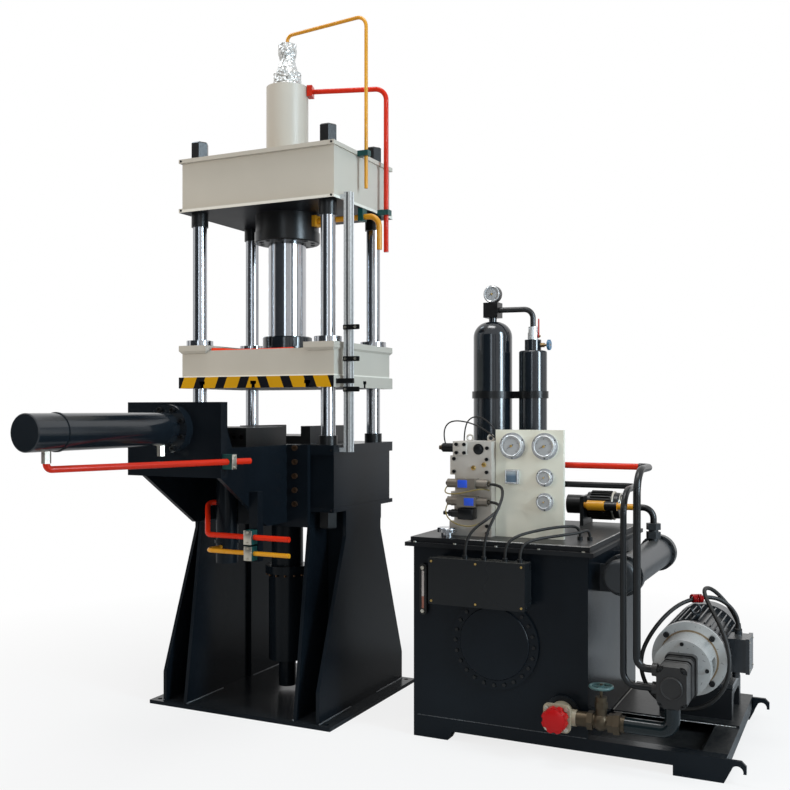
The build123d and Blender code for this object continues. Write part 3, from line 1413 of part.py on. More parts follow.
with BuildPart() as gate_handwheel:
    with Locations((VALVE_X, suction_y, WHEEL_Z)):
        Torus(WHEEL_DIA / 2 - WHEEL_RIM / 2, WHEEL_RIM / 2)
        Cylinder(WHEEL_HUB / 2, WHEEL_RIM)
        with PolarLocations(WHEEL_DIA / 4, WHEEL_SPOKES):
            Box(WHEEL_DIA / 2 - WHEEL_RIM / 2, WHEEL_RIM * 0.8, WHEEL_RIM / 2)
    rod((VALVE_X, suction_y, WHEEL_Z - WHEEL_RIM), (0, 0, 1), STEM_DIA + 2 * SEAT_FIT,
        2 * WHEEL_RIM, Mode.SUBTRACT)
write_piece(gate_handwheel, "gate_handwheel")

pump_z = MOTOR_Z - PUMP_DROP
pump_low = pump_z - PUMP_HEIGHT / 2
with BuildPart() as suction_pipe:
    bent_pipe(
        (
            (union_x1, suction_y, SUCTION_Z),
            (MOTOR_X, suction_y, SUCTION_Z),
            (MOTOR_X, suction_y, pump_low),
        ),
        SUCTION_BEND,
        SUCTION_PIPE_DIA,
    )
write_piece(suction_pipe, "suction_pipe")


# Drive motor: a finned frame between a flange and a fan cowl, on feet, axis along Y
motor_back = MOTOR_FLANGE_Y + MOTOR_LENGTH
foot_top = platform_top + STAND_HEIGHT + MOTOR_FOOT
with BuildPart() as drive_motor:
    rod((MOTOR_X, MOTOR_FLANGE_Y, MOTOR_Z), (0, 1, 0), MOTOR_FLANGE_DIA, MOTOR_FLANGE)
    rod((MOTOR_X, MOTOR_FLANGE_Y, MOTOR_Z), (0, 1, 0), MOTOR_CORE_DIA, MOTOR_LENGTH - COWL_LENGTH)
    fin_start = (MOTOR_X, MOTOR_FLANGE_Y + MOTOR_FIN_START, MOTOR_Z)
    fin_plane = Plane(origin=fin_start, x_dir=(1, 0, 0), z_dir=(0, 1, 0))
    with BuildSketch(fin_plane):
        with PolarLocations((MOTOR_CORE_DIA + MOTOR_FIN_DIA) / 4, MOTOR_FIN_COUNT):
            Rectangle((MOTOR_FIN_DIA - MOTOR_CORE_DIA) / 2 + MOTOR_FIN, MOTOR_FIN)
    extrude(amount=MOTOR_FIN_LENGTH)
    rod((MOTOR_X, motor_back - COWL_LENGTH, MOTOR_Z), (0, 1, 0), COWL_DIA, COWL_LENGTH)
    fillet(edges().filter_by(GeomType.CIRCLE).group_by(Axis.Y)[-1], COWL_ROUND)
    for side in (-1, 1):
        foot_mid = MOTOR_X + side * (STAND_LENGTH / 2 - MOTOR_FOOT_WIDTH / 2)
        slab(foot_mid - MOTOR_FOOT_WIDTH / 2, foot_mid + MOTOR_FOOT_WIDTH / 2, STAND_FRONT + STAND_WALL / 2,
             STAND_FRONT + STAND_DEPTH - STAND_WALL / 2, platform_top + STAND_HEIGHT, foot_top)
        web_mid = MOTOR_X + side * (STAND_LENGTH / 2 - MOTOR_FOOT_WIDTH)
        slab(web_mid - MOTOR_FOOT, web_mid + MOTOR_FOOT, STAND_FRONT + STAND_WALL / 2,
             STAND_FRONT + STAND_DEPTH - STAND_WALL / 2, platform_top + STAND_HEIGHT,
             MOTOR_Z - MOTOR_CORE_DIA / 4)
    box_x0 = MOTOR_X + MOTOR_CORE_DIA / 2 - MOTOR_FIN
    box_x1 = MOTOR_X + MOTOR_FIN_DIA / 2 + TERMINAL_BOX_OUT
    slab(box_x0, box_x1 - TERMINAL_LID, TERMINAL_BOX_Y, TERMINAL_BOX_Y + TERMINAL_BOX_DEPTH,
         MOTOR_Z - TERMINAL_BOX_HEIGHT / 2, MOTOR_Z + TERMINAL_BOX_HEIGHT / 2)
    slab(box_x1 - TERMINAL_LID, box_x1,
         TERMINAL_BOX_Y - BOX_LID_LIP, TERMINAL_BOX_Y + TERMINAL_BOX_DEPTH + BOX_LID_LIP,
         MOTOR_Z - TERMINAL_BOX_HEIGHT / 2 - BOX_LID_LIP, MOTOR_Z + TERMINAL_BOX_HEIGHT / 2 + BOX_LID_LIP)
    cable_x, cable_y, cable_z = CABLE_ROUTE[0]
    terminal_top = MOTOR_Z + TERMINAL_BOX_HEIGHT / 2
    rod((cable_x, cable_y, terminal_top), (0, 0, 1), GLAND_NUT_DIA, GLAND_NUT_LENGTH)
    rod((cable_x, TERMINAL_BOX_Y + GLAND_NUT_DIA, MOTOR_Z), (0, 0, -1), GLAND_NUT_DIA,
        TERMINAL_BOX_HEIGHT / 2 + 2 * GLAND_NUT_LENGTH)
    eye_low = MOTOR_Z + MOTOR_CORE_DIA / 2 - MOTOR_FIN
    eye_z = MOTOR_Z + MOTOR_FIN_DIA / 2 + EYE_RING + EYE_WIRE
    rod((MOTOR_X, EYE_Y, eye_low), (0, 0, 1), EYE_COLLAR_DIA, eye_z - EYE_RING - eye_low)
    with Locations((MOTOR_X, EYE_Y, eye_z)):
        with Locations(Rotation(90, 0, 0)):
            Torus(EYE_RING, EYE_WIRE)
write_piece(drive_motor, "drive_motor")

bell_front = MOTOR_FLANGE_Y - BELL_LENGTH
with BuildPart() as bell_housing:
    rod((MOTOR_X, MOTOR_FLANGE_Y, MOTOR_Z), (0, -1, 0), MOTOR_FLANGE_DIA, BELL_FLANGE)
    rod((MOTOR_X, MOTOR_FLANGE_Y, MOTOR_Z), (0, -1, 0), BELL_DIA, BELL_LENGTH)
    rod((MOTOR_X, MOTOR_FLANGE_Y, MOTOR_Z), (0, -1, 0), BELL_DIA - 2 * BELL_WALL,
        BELL_LENGTH - BELL_NOSE, Mode.SUBTRACT)
    window_mid = (MOTOR_FLANGE_Y - BELL_FLANGE + bell_front) / 2
    slab(MOTOR_X - BELL_DIA, MOTOR_X + BELL_DIA,
         window_mid - BELL_WINDOW_LENGTH / 2, window_mid + BELL_WINDOW_LENGTH / 2,
         MOTOR_Z - BELL_WINDOW_WIDTH / 2, MOTOR_Z + BELL_WINDOW_WIDTH / 2, Mode.SUBTRACT)
write_piece(bell_housing, "bell_housing")

pump_front = bell_front - PUMP_LENGTH
pump_left = MOTOR_X - PUMP_WIDTH / 2
with BuildPart() as gear_pump:
    with BuildSketch(Plane.XZ.offset(-bell_front)):
        with Locations((MOTOR_X, pump_z)):
            RectangleRounded(PUMP_WIDTH, PUMP_HEIGHT, PUMP_ROUND)
    extrude(amount=PUMP_LENGTH)
    with BuildSketch(Plane.XZ.offset(-bell_front)):
        with Locations((MOTOR_X, pump_z)):
            RectangleRounded(PUMP_WIDTH + 2 * PUMP_COVER_STEP, PUMP_HEIGHT + 2 * PUMP_COVER_STEP, PUMP_ROUND)
    extrude(amount=PUMP_COVER)
    for groove_back, groove, groove_deep in PUMP_GROOVES:
        groove_y = bell_front - groove_back
        with BuildSketch(Plane.XZ.offset(-groove_y)):
            with Locations((MOTOR_X, pump_z)):
                Rectangle(2 * PUMP_WIDTH, 2 * PUMP_HEIGHT)
                RectangleRounded(PUMP_WIDTH - 2 * groove_deep, PUMP_HEIGHT - 2 * groove_deep,
                                 PUMP_ROUND - groove_deep, mode=Mode.SUBTRACT)
        extrude(amount=groove, mode=Mode.SUBTRACT)
    corner_y = bell_front - PUMP_LENGTH + PUMP_EAR
    with BuildSketch(Plane.XZ.offset(-corner_y)):
        with Locations((MOTOR_X, pump_z)):
            with GridLocations(PUMP_WIDTH, PUMP_HEIGHT, 2, 2):
                Circle(PUMP_SCALLOP)
    extrude(amount=PUMP_EAR, mode=Mode.SUBTRACT)
    rod((MOTOR_X, corner_y, pump_z), (0, -1, 0), PUMP_BOSS_DIA, PUMP_EAR)
    for port_z in (PORT_HIGH_Z, PORT_LOW_Z):
        rod((pump_left, PUMP_PORT_Y, port_z), (-1, 0, 0), PUMP_PORT_DIA, PUMP_PORT_LENGTH)
write_piece(gear_pump, "gear_pump")


# Pressure pipes: two risers from the pump, then along X to the manifold
port_end = pump_left - PUMP_PORT_LENGTH
manifold_x1 = MANIFOLD_X0 + MANIFOLD_LENGTH
with BuildPart() as pressure_risers:
    bent_pipe(
        (
            (port_end, PUMP_PORT_Y, PORT_HIGH_Z),
            (RISER_A_X, PUMP_PORT_Y, PORT_HIGH_Z),
            (RISER_A_X, PUMP_PORT_Y, RISER_A_TOP),
            (RISER_A_X, RUN_Y, RISER_A_TOP),
            (RED_RUN_END, RUN_Y, RISER_A_TOP),
        ),
        (RISER_BEND * 0.8, RISER_TOP_BEND, RISER_BEND * 0.8),
        RISER_A_DIA,
    )
    bent_pipe(
        (
            (port_end, PUMP_PORT_Y, PORT_LOW_Z),
            (RISER_B_X, PUMP_PORT_Y, PORT_LOW_Z),
            (RISER_B_X, PUMP_PORT_Y, RISER_B_TOP),
            (RISER_B_X, RUN_Y, RISER_B_TOP),
            (manifold_x1, RUN_Y, RISER_B_TOP),
        ),
        (RISER_BEND, RISER_TOP_BEND, RISER_BEND),
        RISER_B_DIA,
    )
write_piece(pressure_risers, "pressure_risers")

with BuildPart() as pressure_pipe:
    rod((manifold_x1, RUN_Y, RISER_A_TOP), (1, 0, 0), RED_RUN_DIA, RED_RUN_END - manifold_x1)


# Manifold: plated blocks in a stack, each set back a little differently
manifold_mid_y = MANIFOLD_Y0 + MANIFOLD_DEPTH / 2
with BuildPart() as valve_manifold:
    level_low = lid_top
    for level, step in zip(MANIFOLD_LEVELS, MANIFOLD_STEPS):
        slab(MANIFOLD_X0 + step, manifold_x1, MANIFOLD_Y0, MANIFOLD_Y0 + MANIFOLD_DEPTH - step,
             level_low, level_low + level)
        level_low += level
    for eye_offset in (MANIFOLD_LENGTH / 3, MANIFOLD_LENGTH * 5 / 6):
        with Locations((MANIFOLD_X0 + eye_offset, manifold_mid_y, level_low + EYE_RING * 0.7)):
            with Locations(Rotation(90, 0, 0)):
                Torus(EYE_RING * 0.7, EYE_WIRE * 0.8)
write_piece(valve_manifold, "valve_manifold")

with BuildPart() as control_valves:
    valve_length, valve_depth, valve_height = VALVE_BODY
    for level in VALVE_LEVELS:
        valve_x = MANIFOLD_X0 + MANIFOLD_LENGTH / 2
        slab(valve_x - valve_length / 2, valve_x + valve_length / 2, MANIFOLD_Y0 - valve_depth, MANIFOLD_Y0,
             lid_top + level, lid_top + level + valve_height)
        valve_mid = (valve_x, MANIFOLD_Y0 - valve_depth / 2, lid_top + level + valve_height / 2)
        for side in (-1, 1):
            coil_start = (valve_x + side * valve_length / 2, valve_mid[1], valve_mid[2])
            rod(coil_start, (side, 0, 0), COIL_DIA, COIL_LENGTH)
    sensor_z = lid_top + sum(MANIFOLD_LEVELS) - MANIFOLD_LEVELS[-1] / 2
    rod((MANIFOLD_X0 + MANIFOLD_STEPS[-1], manifold_mid_y, sensor_z), (-1, 0, 0), SENSOR_DIA, SENSOR_LENGTH)
write_piece(control_valves, "control_valves")

with BuildPart() as breather_cap:
    rod((BREATHER_X, BREATHER_Y, lid_top), (0, 0, 1), BREATHER_DIA * 0.6, BREATHER_HEIGHT)
    rod((BREATHER_X, BREATHER_Y, lid_top + BREATHER_HEIGHT / 2), (0, 0, 1),
        BREATHER_DIA, BREATHER_HEIGHT / 2)
    fillet(edges().filter_by(GeomType.CIRCLE).group_by(Axis.Z)[-1], BREATHER_HEIGHT / 5)
write_piece(breather_cap, "breather_cap")


# Gauge panel: a folded sheet on the lid, with its gauges and meter in front
with BuildPart() as gauge_panel:
    slab(PANEL_X0, PANEL_X0 + PANEL_LENGTH, PANEL_Y, PANEL_Y + PANEL_SHEET, lid_top, lid_top + PANEL_HEIGHT)
    for edge_x in (PANEL_X0, PANEL_X0 + PANEL_LENGTH - PANEL_SHEET):
        slab(edge_x, edge_x + PANEL_SHEET, PANEL_Y, PANEL_Y + PANEL_RETURN, lid_top, lid_top + PANEL_HEIGHT)
    slab(PANEL_X0, PANEL_X0 + PANEL_LENGTH, PANEL_Y, PANEL_Y + PANEL_RETURN, lid_top, lid_top + PANEL_SHEET)
    slab(PANEL_X0, PANEL_X0 + PANEL_LENGTH, PANEL_Y, PANEL_Y + PANEL_RETURN,
         lid_top + PANEL_HEIGHT - PANEL_SHEET, lid_top + PANEL_HEIGHT)
write_piece(gauge_panel, "gauge_panel")


def dial(x, z, flange_dia, case_dia):
    """A flush gauge: a thin rim on the panel and a case that stands in front of it."""
    rod((x, PANEL_Y, z), (0, -1, 0), flange_dia, GAUGE_RIM)
    rod((x, PANEL_Y, z), (0, -1, 0), case_dia, GAUGE_DEPTH)


with BuildPart() as pressure_gauges:
    dial(PANEL_X0 + GAUGE_LEFT_X, lid_top + GAUGE_ROW_1, BIG_GAUGE_DIA, BIG_GAUGE_CASE)
    dial(PANEL_X0 + GAUGE_RIGHT_X, lid_top + GAUGE_ROW_1, BIG_GAUGE_DIA, BIG_GAUGE_CASE)
    dial(PANEL_X0 + GAUGE_RIGHT_X, lid_top + GAUGE_ROW_2, SMALL_GAUGE_DIA, SMALL_GAUGE_CASE)
    dial(PANEL_X0 + GAUGE_RIGHT_X, lid_top + GAUGE_ROW_3, SMALL_GAUGE_DIA, SMALL_GAUGE_CASE)
    with BuildSketch(Plane.XZ.offset(-PANEL_Y)):
        with Locations((PANEL_X0 + GAUGE_LEFT_X, lid_top + GAUGE_ROW_2)):
            RectangleRounded(METER_SIDE, METER_SIDE, METER_SIDE / 12)
    extrude(amount=METER_DEPTH)
write_piece(pressure_gauges, "pressure_gauges")


# Accumulator and nitrogen bottle behind the panel, strapped together
acc_top = lid_top + ACC_HEIGHT
acc_block_low = acc_top + ACC_NECK
with BuildPart() as accumulator:
    rod((ACC_X, ACC_Y, lid_top), (0, 0, 1), ACC_DIA, ACC_HEIGHT)
    fillet(edges().filter_by(GeomType.CIRCLE).group_by(Axis.Z)[-1], ACC_DIA * 0.4)
    fillet(edges().filter_by(GeomType.CIRCLE).group_by(Axis.Z)[0], (ACC_DIA - ACC_FOOT_DIA) / 2)
    rod((ACC_X, ACC_Y, acc_top), (0, 0, 1), ACC_NECK_DIA, ACC_NECK)
write_piece(accumulator, "accumulator")

bottle_top = lid_top + BOTTLE_HEIGHT
ball_low = bottle_top + BOTTLE_NECK
collar_low = ball_low + BALL_HEIGHT
collar_top = collar_low + COLLAR_HEIGHT
with BuildPart() as nitrogen_bottle:
    rod((BOTTLE_X, BOTTLE_Y, lid_top), (0, 0, 1), BOTTLE_DIA, BOTTLE_HEIGHT)
    fillet(edges().filter_by(GeomType.CIRCLE).group_by(Axis.Z)[-1], BOTTLE_SHOULDER)
    rod((BOTTLE_X, BOTTLE_Y, bottle_top), (0, 0, 1), BOTTLE_NECK_DIA, BOTTLE_NECK)
write_piece(nitrogen_bottle, "nitrogen_bottle")

block_mid_z = acc_block_low + ACC_BLOCK / 2
with BuildPart() as nitrogen_head:
    slab(ACC_X - ACC_BLOCK / 2, ACC_X + ACC_BLOCK / 2, ACC_Y - ACC_BLOCK / 2, ACC_Y + ACC_BLOCK / 2,
         acc_block_low, acc_block_low + ACC_BLOCK)
    rod((ACC_X, ACC_Y, acc_block_low + ACC_BLOCK), (0, 0, 1), ACC_NECK_DIA * 0.6, HEAD_GAUGE_DIA / 4)
    head_gauge_z = acc_block_low + ACC_BLOCK + HEAD_GAUGE_DIA / 2
    rod((ACC_X, ACC_Y + HEAD_GAUGE_DEPTH / 2, head_gauge_z), (0, -1, 0), HEAD_GAUGE_DIA, HEAD_GAUGE_DEPTH)
    bent_pipe(
        (
            (ACC_X + ACC_BLOCK / 2, ACC_Y, block_mid_z),
            (BOTTLE_X, BOTTLE_Y, block_mid_z),
            (BOTTLE_X, BOTTLE_Y, collar_top),
        ),
        NITROGEN_BEND,
        NITROGEN_PIPE_DIA,
    )
write_piece(nitrogen_head, "nitrogen_head")

ball_mid_z = ball_low + BALL_HEIGHT / 2
with BuildPart() as bottle_valve:
    rod((BOTTLE_X, BOTTLE_Y, ball_low), (0, 0, 1), BALL_DIA, BALL_HEIGHT)
    rod((BOTTLE_X, BOTTLE_Y, collar_low), (0, 0, 1), COLLAR_DIA, COLLAR_HEIGHT)
    rod((BOTTLE_X, BOTTLE_Y, ball_mid_z), (1, 0, 0), LEVER_PIN_DIA, BALL_DIA / 2 + LEVER_PIN)

lever_x = BOTTLE_X + BALL_DIA / 2 + LEVER_GAP
with BuildPart() as ball_valve_lever:
    with BuildSketch(Plane.YZ.offset(lever_x)):
        with Locations((BOTTLE_Y, ball_mid_z)):
            Circle(LEVER_HUB_DIA / 2)
            with Locations((0, LEVER_LENGTH / 2)):
                SlotOverall(LEVER_LENGTH, LEVER_WIDTH, rotation=90)
            Circle(LEVER_PIN_DIA / 2 + SEAT_FIT, mode=Mode.SUBTRACT)
    extrude(amount=LEVER_THICK)
write_piece(ball_valve_lever, "ball_valve_lever")

needle_z = bottle_top + BOTTLE_NECK / 2
needle_x0 = BOTTLE_X + BOTTLE_NECK_DIA / 2
needle_x1 = needle_x0 + NEEDLE_STEM
with BuildPart() as needle_valve:
    with BuildSketch(Plane.YZ.offset(needle_x0)):
        with Locations((BOTTLE_Y, needle_z)):
            RegularPolygon(NEEDLE_STEM_DIA, 6)
    extrude(amount=NEEDLE_STEM / 2)
    rod((needle_x0 - NEEDLE_STEM_DIA, BOTTLE_Y, needle_z), (1, 0, 0), NEEDLE_STEM_DIA,
        NEEDLE_STEM_DIA + NEEDLE_STEM + NEEDLE_WHEEL)
    rod((BOTTLE_X, BOTTLE_Y, bottle_top), (0, 0, 1), BOTTLE_NECK_DIA + 2 * SEAT_FIT,
        BOTTLE_NECK, Mode.SUBTRACT)

with BuildPart() as bottle_valves:
    add(bottle_valve.part)
    add(needle_valve.part)
write_piece(bottle_valves, "bottle_valves")

with BuildPart() as needle_handwheel:
    with BuildSketch(Plane.YZ.offset(needle_x1)):
        with Locations((BOTTLE_Y, needle_z)):
            Circle(NEEDLE_WHEEL_DIA / 2)
            with PolarLocations(NEEDLE_WHEEL_DIA / 2 + NEEDLE_STEM_DIA / 4, NEEDLE_LOBES):
                Circle(NEEDLE_STEM_DIA / 2, mode=Mode.SUBTRACT)
            Circle(NEEDLE_STEM_DIA / 2 + SEAT_FIT, mode=Mode.SUBTRACT)
    extrude(amount=NEEDLE_WHEEL)
write_piece(needle_handwheel, "needle_handwheel")

with BuildPart() as bottle_strap:
    with BuildSketch(Plane.XY.offset(STRAP_Z)):
        with Locations((ACC_X, ACC_Y)):
            Circle(ACC_DIA / 2 + SEAT_FIT + STRAP_THICK)
        with Locations((BOTTLE_X, BOTTLE_Y)):
            Circle(BOTTLE_DIA / 2 + SEAT_FIT + STRAP_THICK)
        with Locations(((ACC_X + BOTTLE_X) / 2, (ACC_Y + BOTTLE_Y) / 2)):
            Rectangle(BOTTLE_X - ACC_X, 3 * STRAP_THICK)
        with Locations((ACC_X, ACC_Y)):
            Circle(ACC_DIA / 2 + SEAT_FIT, mode=Mode.SUBTRACT)
        with Locations((BOTTLE_X, BOTTLE_Y)):
            Circle(BOTTLE_DIA / 2 + SEAT_FIT, mode=Mode.SUBTRACT)
    extrude(amount=STRAP_HEIGHT)
write_piece(bottle_strap, "bottle_strap")


# Cooler beside the tank, on two saddles
cooler_back = COOLER_FRONT + COOLER_LENGTH
cooler_top = COOLER_Z + COOLER_DIA / 2
with BuildPart() as oil_cooler:
    rod((COOLER_X, COOLER_FRONT, COOLER_Z), (0, 1, 0), COOLER_DIA, COOLER_LENGTH)
    for flange_y in (COOLER_FRONT + COOLER_HEAD, cooler_back - COOLER_HEAD - 2 * COOLER_FLANGE):
        rod((COOLER_X, flange_y, COOLER_Z), (0, 1, 0), COOLER_FLANGE_DIA, 2 * COOLER_FLANGE)
    fillet(edges().filter_by(GeomType.CIRCLE).group_by(Axis.Y)[0], COOLER_HEAD / 3)
    fillet(edges().filter_by(GeomType.CIRCLE).group_by(Axis.Y)[-1], COOLER_HEAD / 3)
    rod((COOLER_X, COOLER_PORT_Y, COOLER_Z), (0, 0, 1), COOLER_PORT_DIA, COOLER_DIA / 2 + COOLER_PORT_HEIGHT)
    for nut_drop in (UNION_NUT_HEIGHT, COOLER_PORT_HEIGHT - UNION_NUT_HEIGHT / 3):
        with BuildSketch(Plane.XY.offset(cooler_top + COOLER_PORT_HEIGHT - nut_drop)):
            with Locations((COOLER_X, COOLER_PORT_Y)):
                RegularPolygon(UNION_NUT / 2, 6, major_radius=False)
        extrude(amount=UNION_NUT_HEIGHT)
    for saddle_y in (SADDLE_FRONT, SADDLE_BACK):
        slab(tank_x1, COOLER_X, saddle_y, saddle_y + SADDLE_THICK, COOLER_Z - COOLER_DIA / 2 - SADDLE_THICK,
             COOLER_Z + SADDLE_HALF / 2)
write_piece(oil_cooler, "oil_cooler")

circ_x0 = CIRC_PLATE_X - CIRC_PUMP
circ_plate_x1 = CIRC_PLATE_X + CIRC_PLATE
with BuildPart() as circulation_pump:
    rod((circ_x0, CIRC_Y, CIRC_Z), (1, 0, 0), CIRC_PUMP_DIA, CIRC_PUMP)
    plate_back = CIRC_Y + CIRC_PUMP_DIA * 0.75
    slab(CIRC_PLATE_X, circ_plate_x1, plate_back - CIRC_PLATE_WIDTH, plate_back,
         lid_top, lid_top + CIRC_PLATE_HEIGHT)
    rod((circ_plate_x1, CIRC_Y, CIRC_Z), (1, 0, 0), CIRC_MOTOR_DIA, CIRC_MOTOR)
    fillet(edges().filter_by(GeomType.CIRCLE).group_by(Axis.X)[-1], CIRC_MOTOR_DIA / 12)
write_piece(circulation_pump, "circulation_pump")

with BuildPart() as return_pipe:
    bent_pipe(
        (
            (circ_plate_x1, COOLER_PORT_Y, RETURN_Z),
            (COOLER_X, COOLER_PORT_Y, RETURN_Z),
            (COOLER_X, COOLER_PORT_Y, cooler_top + COOLER_PORT_HEIGHT),
        ),
        RETURN_BEND,
        RETURN_DIA,
    )
    sleeve_x = circ_plate_x1 + SLEEVE_GAP
    rod((sleeve_x, COOLER_PORT_Y, RETURN_Z), (1, 0, 0), SLEEVE_DIA, SLEEVE_LENGTH)
    rod((sleeve_x + SLEEVE_LENGTH, COOLER_PORT_Y, RETURN_Z), (1, 0, 0), HOSE_DIA, HOSE_LENGTH)


# Pipes by colour: red for pressure, yellow for return; and their clamps
with BuildPart() as red_pipes:
    add(head_pipe.part)
    add(side_pipe.part)
    add(ejector_red_pipe.part)
    add(pressure_pipe.part)
write_piece(red_pipes, "red_pipes")

with BuildPart() as yellow_pipes:
    add(prefill_pipe.part)
    add(gland_pipe.part)
    add(ejector_yellow_pipe.part)
    add(return_pipe.part)
write_piece(yellow_pipes, "yellow_pipes")

with BuildPart() as pipe_clamps:
    add(riser_clamps.part)
    add(front_clamps.part)
write_piece(pipe_clamps, "pipe_clamps")


# Control cables, held at both ends by the junction box and what they serve
with BuildPart() as control_cables:
    for route in LEAD_ROUTES:
        bent_pipe(route, cord_bends(route), LEAD_DIA)
write_piece(control_cables, "control_cables")


# Spare motor cable in its loops
cable_bends = cord_bends(CABLE_ROUTE)
print("motor cable bends", [round(bend) for bend in cable_bends])
with BuildPart() as motor_cable:
    bent_pipe(CABLE_ROUTE, cable_bends, CABLE_DIA)
write_piece(motor_cable, "motor_cable")
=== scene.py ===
# %% [markdown]
# # A die casting press and its hydraulic power unit
# The press is a tall frame of four chromed columns, with a table, a moving platen and a top
# beam. A power unit stands beside it on its own skid. Their solids come ready made and stay
# where they are. This lesson gives them finishes, and adds what is too fine for the solids:
# bolts, dials, welds, cables and a crinkled film.

# %% Load the frame
import bmesh
import bpy
import json
import math
from mathutils import Matrix, Vector, noise


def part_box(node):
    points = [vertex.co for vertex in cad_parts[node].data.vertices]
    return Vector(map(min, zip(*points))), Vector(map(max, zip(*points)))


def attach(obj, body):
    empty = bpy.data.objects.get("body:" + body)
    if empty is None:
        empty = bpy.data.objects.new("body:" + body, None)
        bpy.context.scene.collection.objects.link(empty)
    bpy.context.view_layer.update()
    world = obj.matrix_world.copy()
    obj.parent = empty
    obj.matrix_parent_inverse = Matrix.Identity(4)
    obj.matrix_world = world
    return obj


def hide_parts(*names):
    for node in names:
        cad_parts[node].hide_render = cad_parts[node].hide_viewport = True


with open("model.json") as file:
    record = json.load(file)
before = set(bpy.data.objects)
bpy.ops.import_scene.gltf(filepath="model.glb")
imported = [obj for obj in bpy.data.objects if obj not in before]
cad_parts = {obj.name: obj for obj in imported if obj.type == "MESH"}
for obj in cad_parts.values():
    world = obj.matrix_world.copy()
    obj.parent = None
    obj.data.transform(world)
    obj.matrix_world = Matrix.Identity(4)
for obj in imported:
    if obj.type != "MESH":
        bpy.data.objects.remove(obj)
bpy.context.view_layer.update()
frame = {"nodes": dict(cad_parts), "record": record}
nodes = frame["nodes"]
UP = Vector((0, 0, 1))
FRONT = Vector((0, -1, 0))
RIGHT = Vector((1, 0, 0))
print("solids in the frame:", len(nodes))

# %% [markdown]
# ## Camera
# The camera stands to the right of the press at about eye height and looks level, so upright
# edges stay upright. A small shift lifts the picture instead of a tilt, as an
# architectural lens does.

# %% Camera
EYE = (3.034, -4.871, 1.62)
LOOK_LEFT = math.radians(25.74)
lens_data = bpy.data.cameras.new("view_camera")
lens_data.sensor_width = 36
lens_data.lens = 45.29
lens_data.shift_y = 0.0187
camera = bpy.data.objects.new("view_camera", lens_data)
camera.location = EYE
camera.rotation_euler = (math.pi / 2, 0, LOOK_LEFT)
bpy.context.collection.objects.link(camera)
bpy.context.scene.camera = camera
bpy.context.scene.view_settings.view_transform = "Standard"
print("camera lens", lens_data.lens, "mm")

# %% [markdown]
# ## Shader maths in Python
# A finish is a small network of nodes. Wrapping a socket in a class lets us write the maths
# as plain expressions, such as `1 - mask`, and each expression adds its own Math node. All
# other nodes come from one method that takes a type, its settings and its inputs.


# %% A socket that does arithmetic, and a finish that makes nodes
class Wire:
    """A node's output that can be added, multiplied and compared in Python."""

    def __init__(self, network, socket):
        self.network, self.socket = network, socket

    def _math(self, operation, first, second):
        return self.network.node("ShaderNodeMath", {"operation": operation}, {0: first, 1: second})

    def __add__(self, other):
        return self._math("ADD", self, other)

    def __sub__(self, other):
        return self._math("SUBTRACT", self, other)

    def __rsub__(self, other):
        return self._math("SUBTRACT", other, self)

    def __mul__(self, other):
        return self._math("MULTIPLY", self, other)

    def __truediv__(self, other):
        return self._math("DIVIDE", self, other)

    def __gt__(self, other):
        return self._math("GREATER_THAN", self, other)

    def __lt__(self, other):
        return self._math("LESS_THAN", self, other)

    def __abs__(self):
        return self._math("ABSOLUTE", self, 0.0)

    __radd__, __rmul__ = __add__, __mul__


class Network:
    """A tree of shader nodes, and the one method that makes a node in it."""

    def __init__(self, tree):
        self.tree = tree

    def node(self, kind, settings=None, inputs=None, output=0):
        made = self.tree.nodes.new(kind)
        for key, value in (settings or {}).items():
            setattr(made, key, value)
        for key, value in (inputs or {}).items():
            if isinstance(value, Wire):
                self.tree.links.new(value.socket, made.inputs[key])
            else:
                made.inputs[key].default_value = value
        return Wire(self, made.outputs[output])


class Finish(Network):
    """A material being made: a Principled surface and the nodes that feed it."""

    def __init__(self, name):
        self.material = bpy.data.materials.new(name)
        self.material.use_nodes = True
        super().__init__(self.material.node_tree)
        self.shader = self.tree.nodes["Principled BSDF"]

    def set(self, **values):
        """Set or link sockets of the surface; underscores stand for spaces."""
        for key, value in values.items():
            socket = self.shader.inputs[key.replace("_", " ")]
            if isinstance(value, Wire):
                self.tree.links.new(value.socket, socket)
            else:
                socket.default_value = value
        return self

    def over(self, mask, shade):
        """Lay a shade over the base colour where the mask is 1."""
        coat = Wire(self, self.shader.inputs["Base Color"].links[0].from_socket)
        return self.set(Base_Color=self.mix(mask, coat, shade))

    def split(self, vector):
        made = self.node("ShaderNodeSeparateXYZ", inputs={0: vector}).socket.node
        return [Wire(self, output) for output in made.outputs]

    def place(self):
        return self.node("ShaderNodeTexCoord", output="Object")

    def axes(self):
        return self.split(self.place())

    def facing(self):
        return self.split(self.node("ShaderNodeNewGeometry", output="Normal"))

    def grain(self, scale, detail=4, stretch=(1, 1, 1)):
        mapped = self.node("ShaderNodeMapping", inputs={0: self.place(), 3: stretch})
        return self.node("ShaderNodeTexNoise", inputs={0: mapped, "Scale": scale, "Detail": detail})

    def ramp(self, value, low, high):
        """0 below low, 1 above high, and a straight line between."""
        return self.node("ShaderNodeMapRange", inputs={0: value, 1: low, 2: high})

    def mix(self, factor, first, second):
        settings = {"data_type": "RGBA"}
        return self.node("ShaderNodeMix", settings, {0: factor, 6: first, 7: second}, output=2)

    def bump(self, height, distance, strength=1.0):
        inputs = {"Height": height, "Distance": distance, "Strength": strength}
        return self.node("ShaderNodeBump", inputs=inputs)


def rgb(red, green, blue):
    return (red, green, blue, 1.0)


print("shader tools ready")

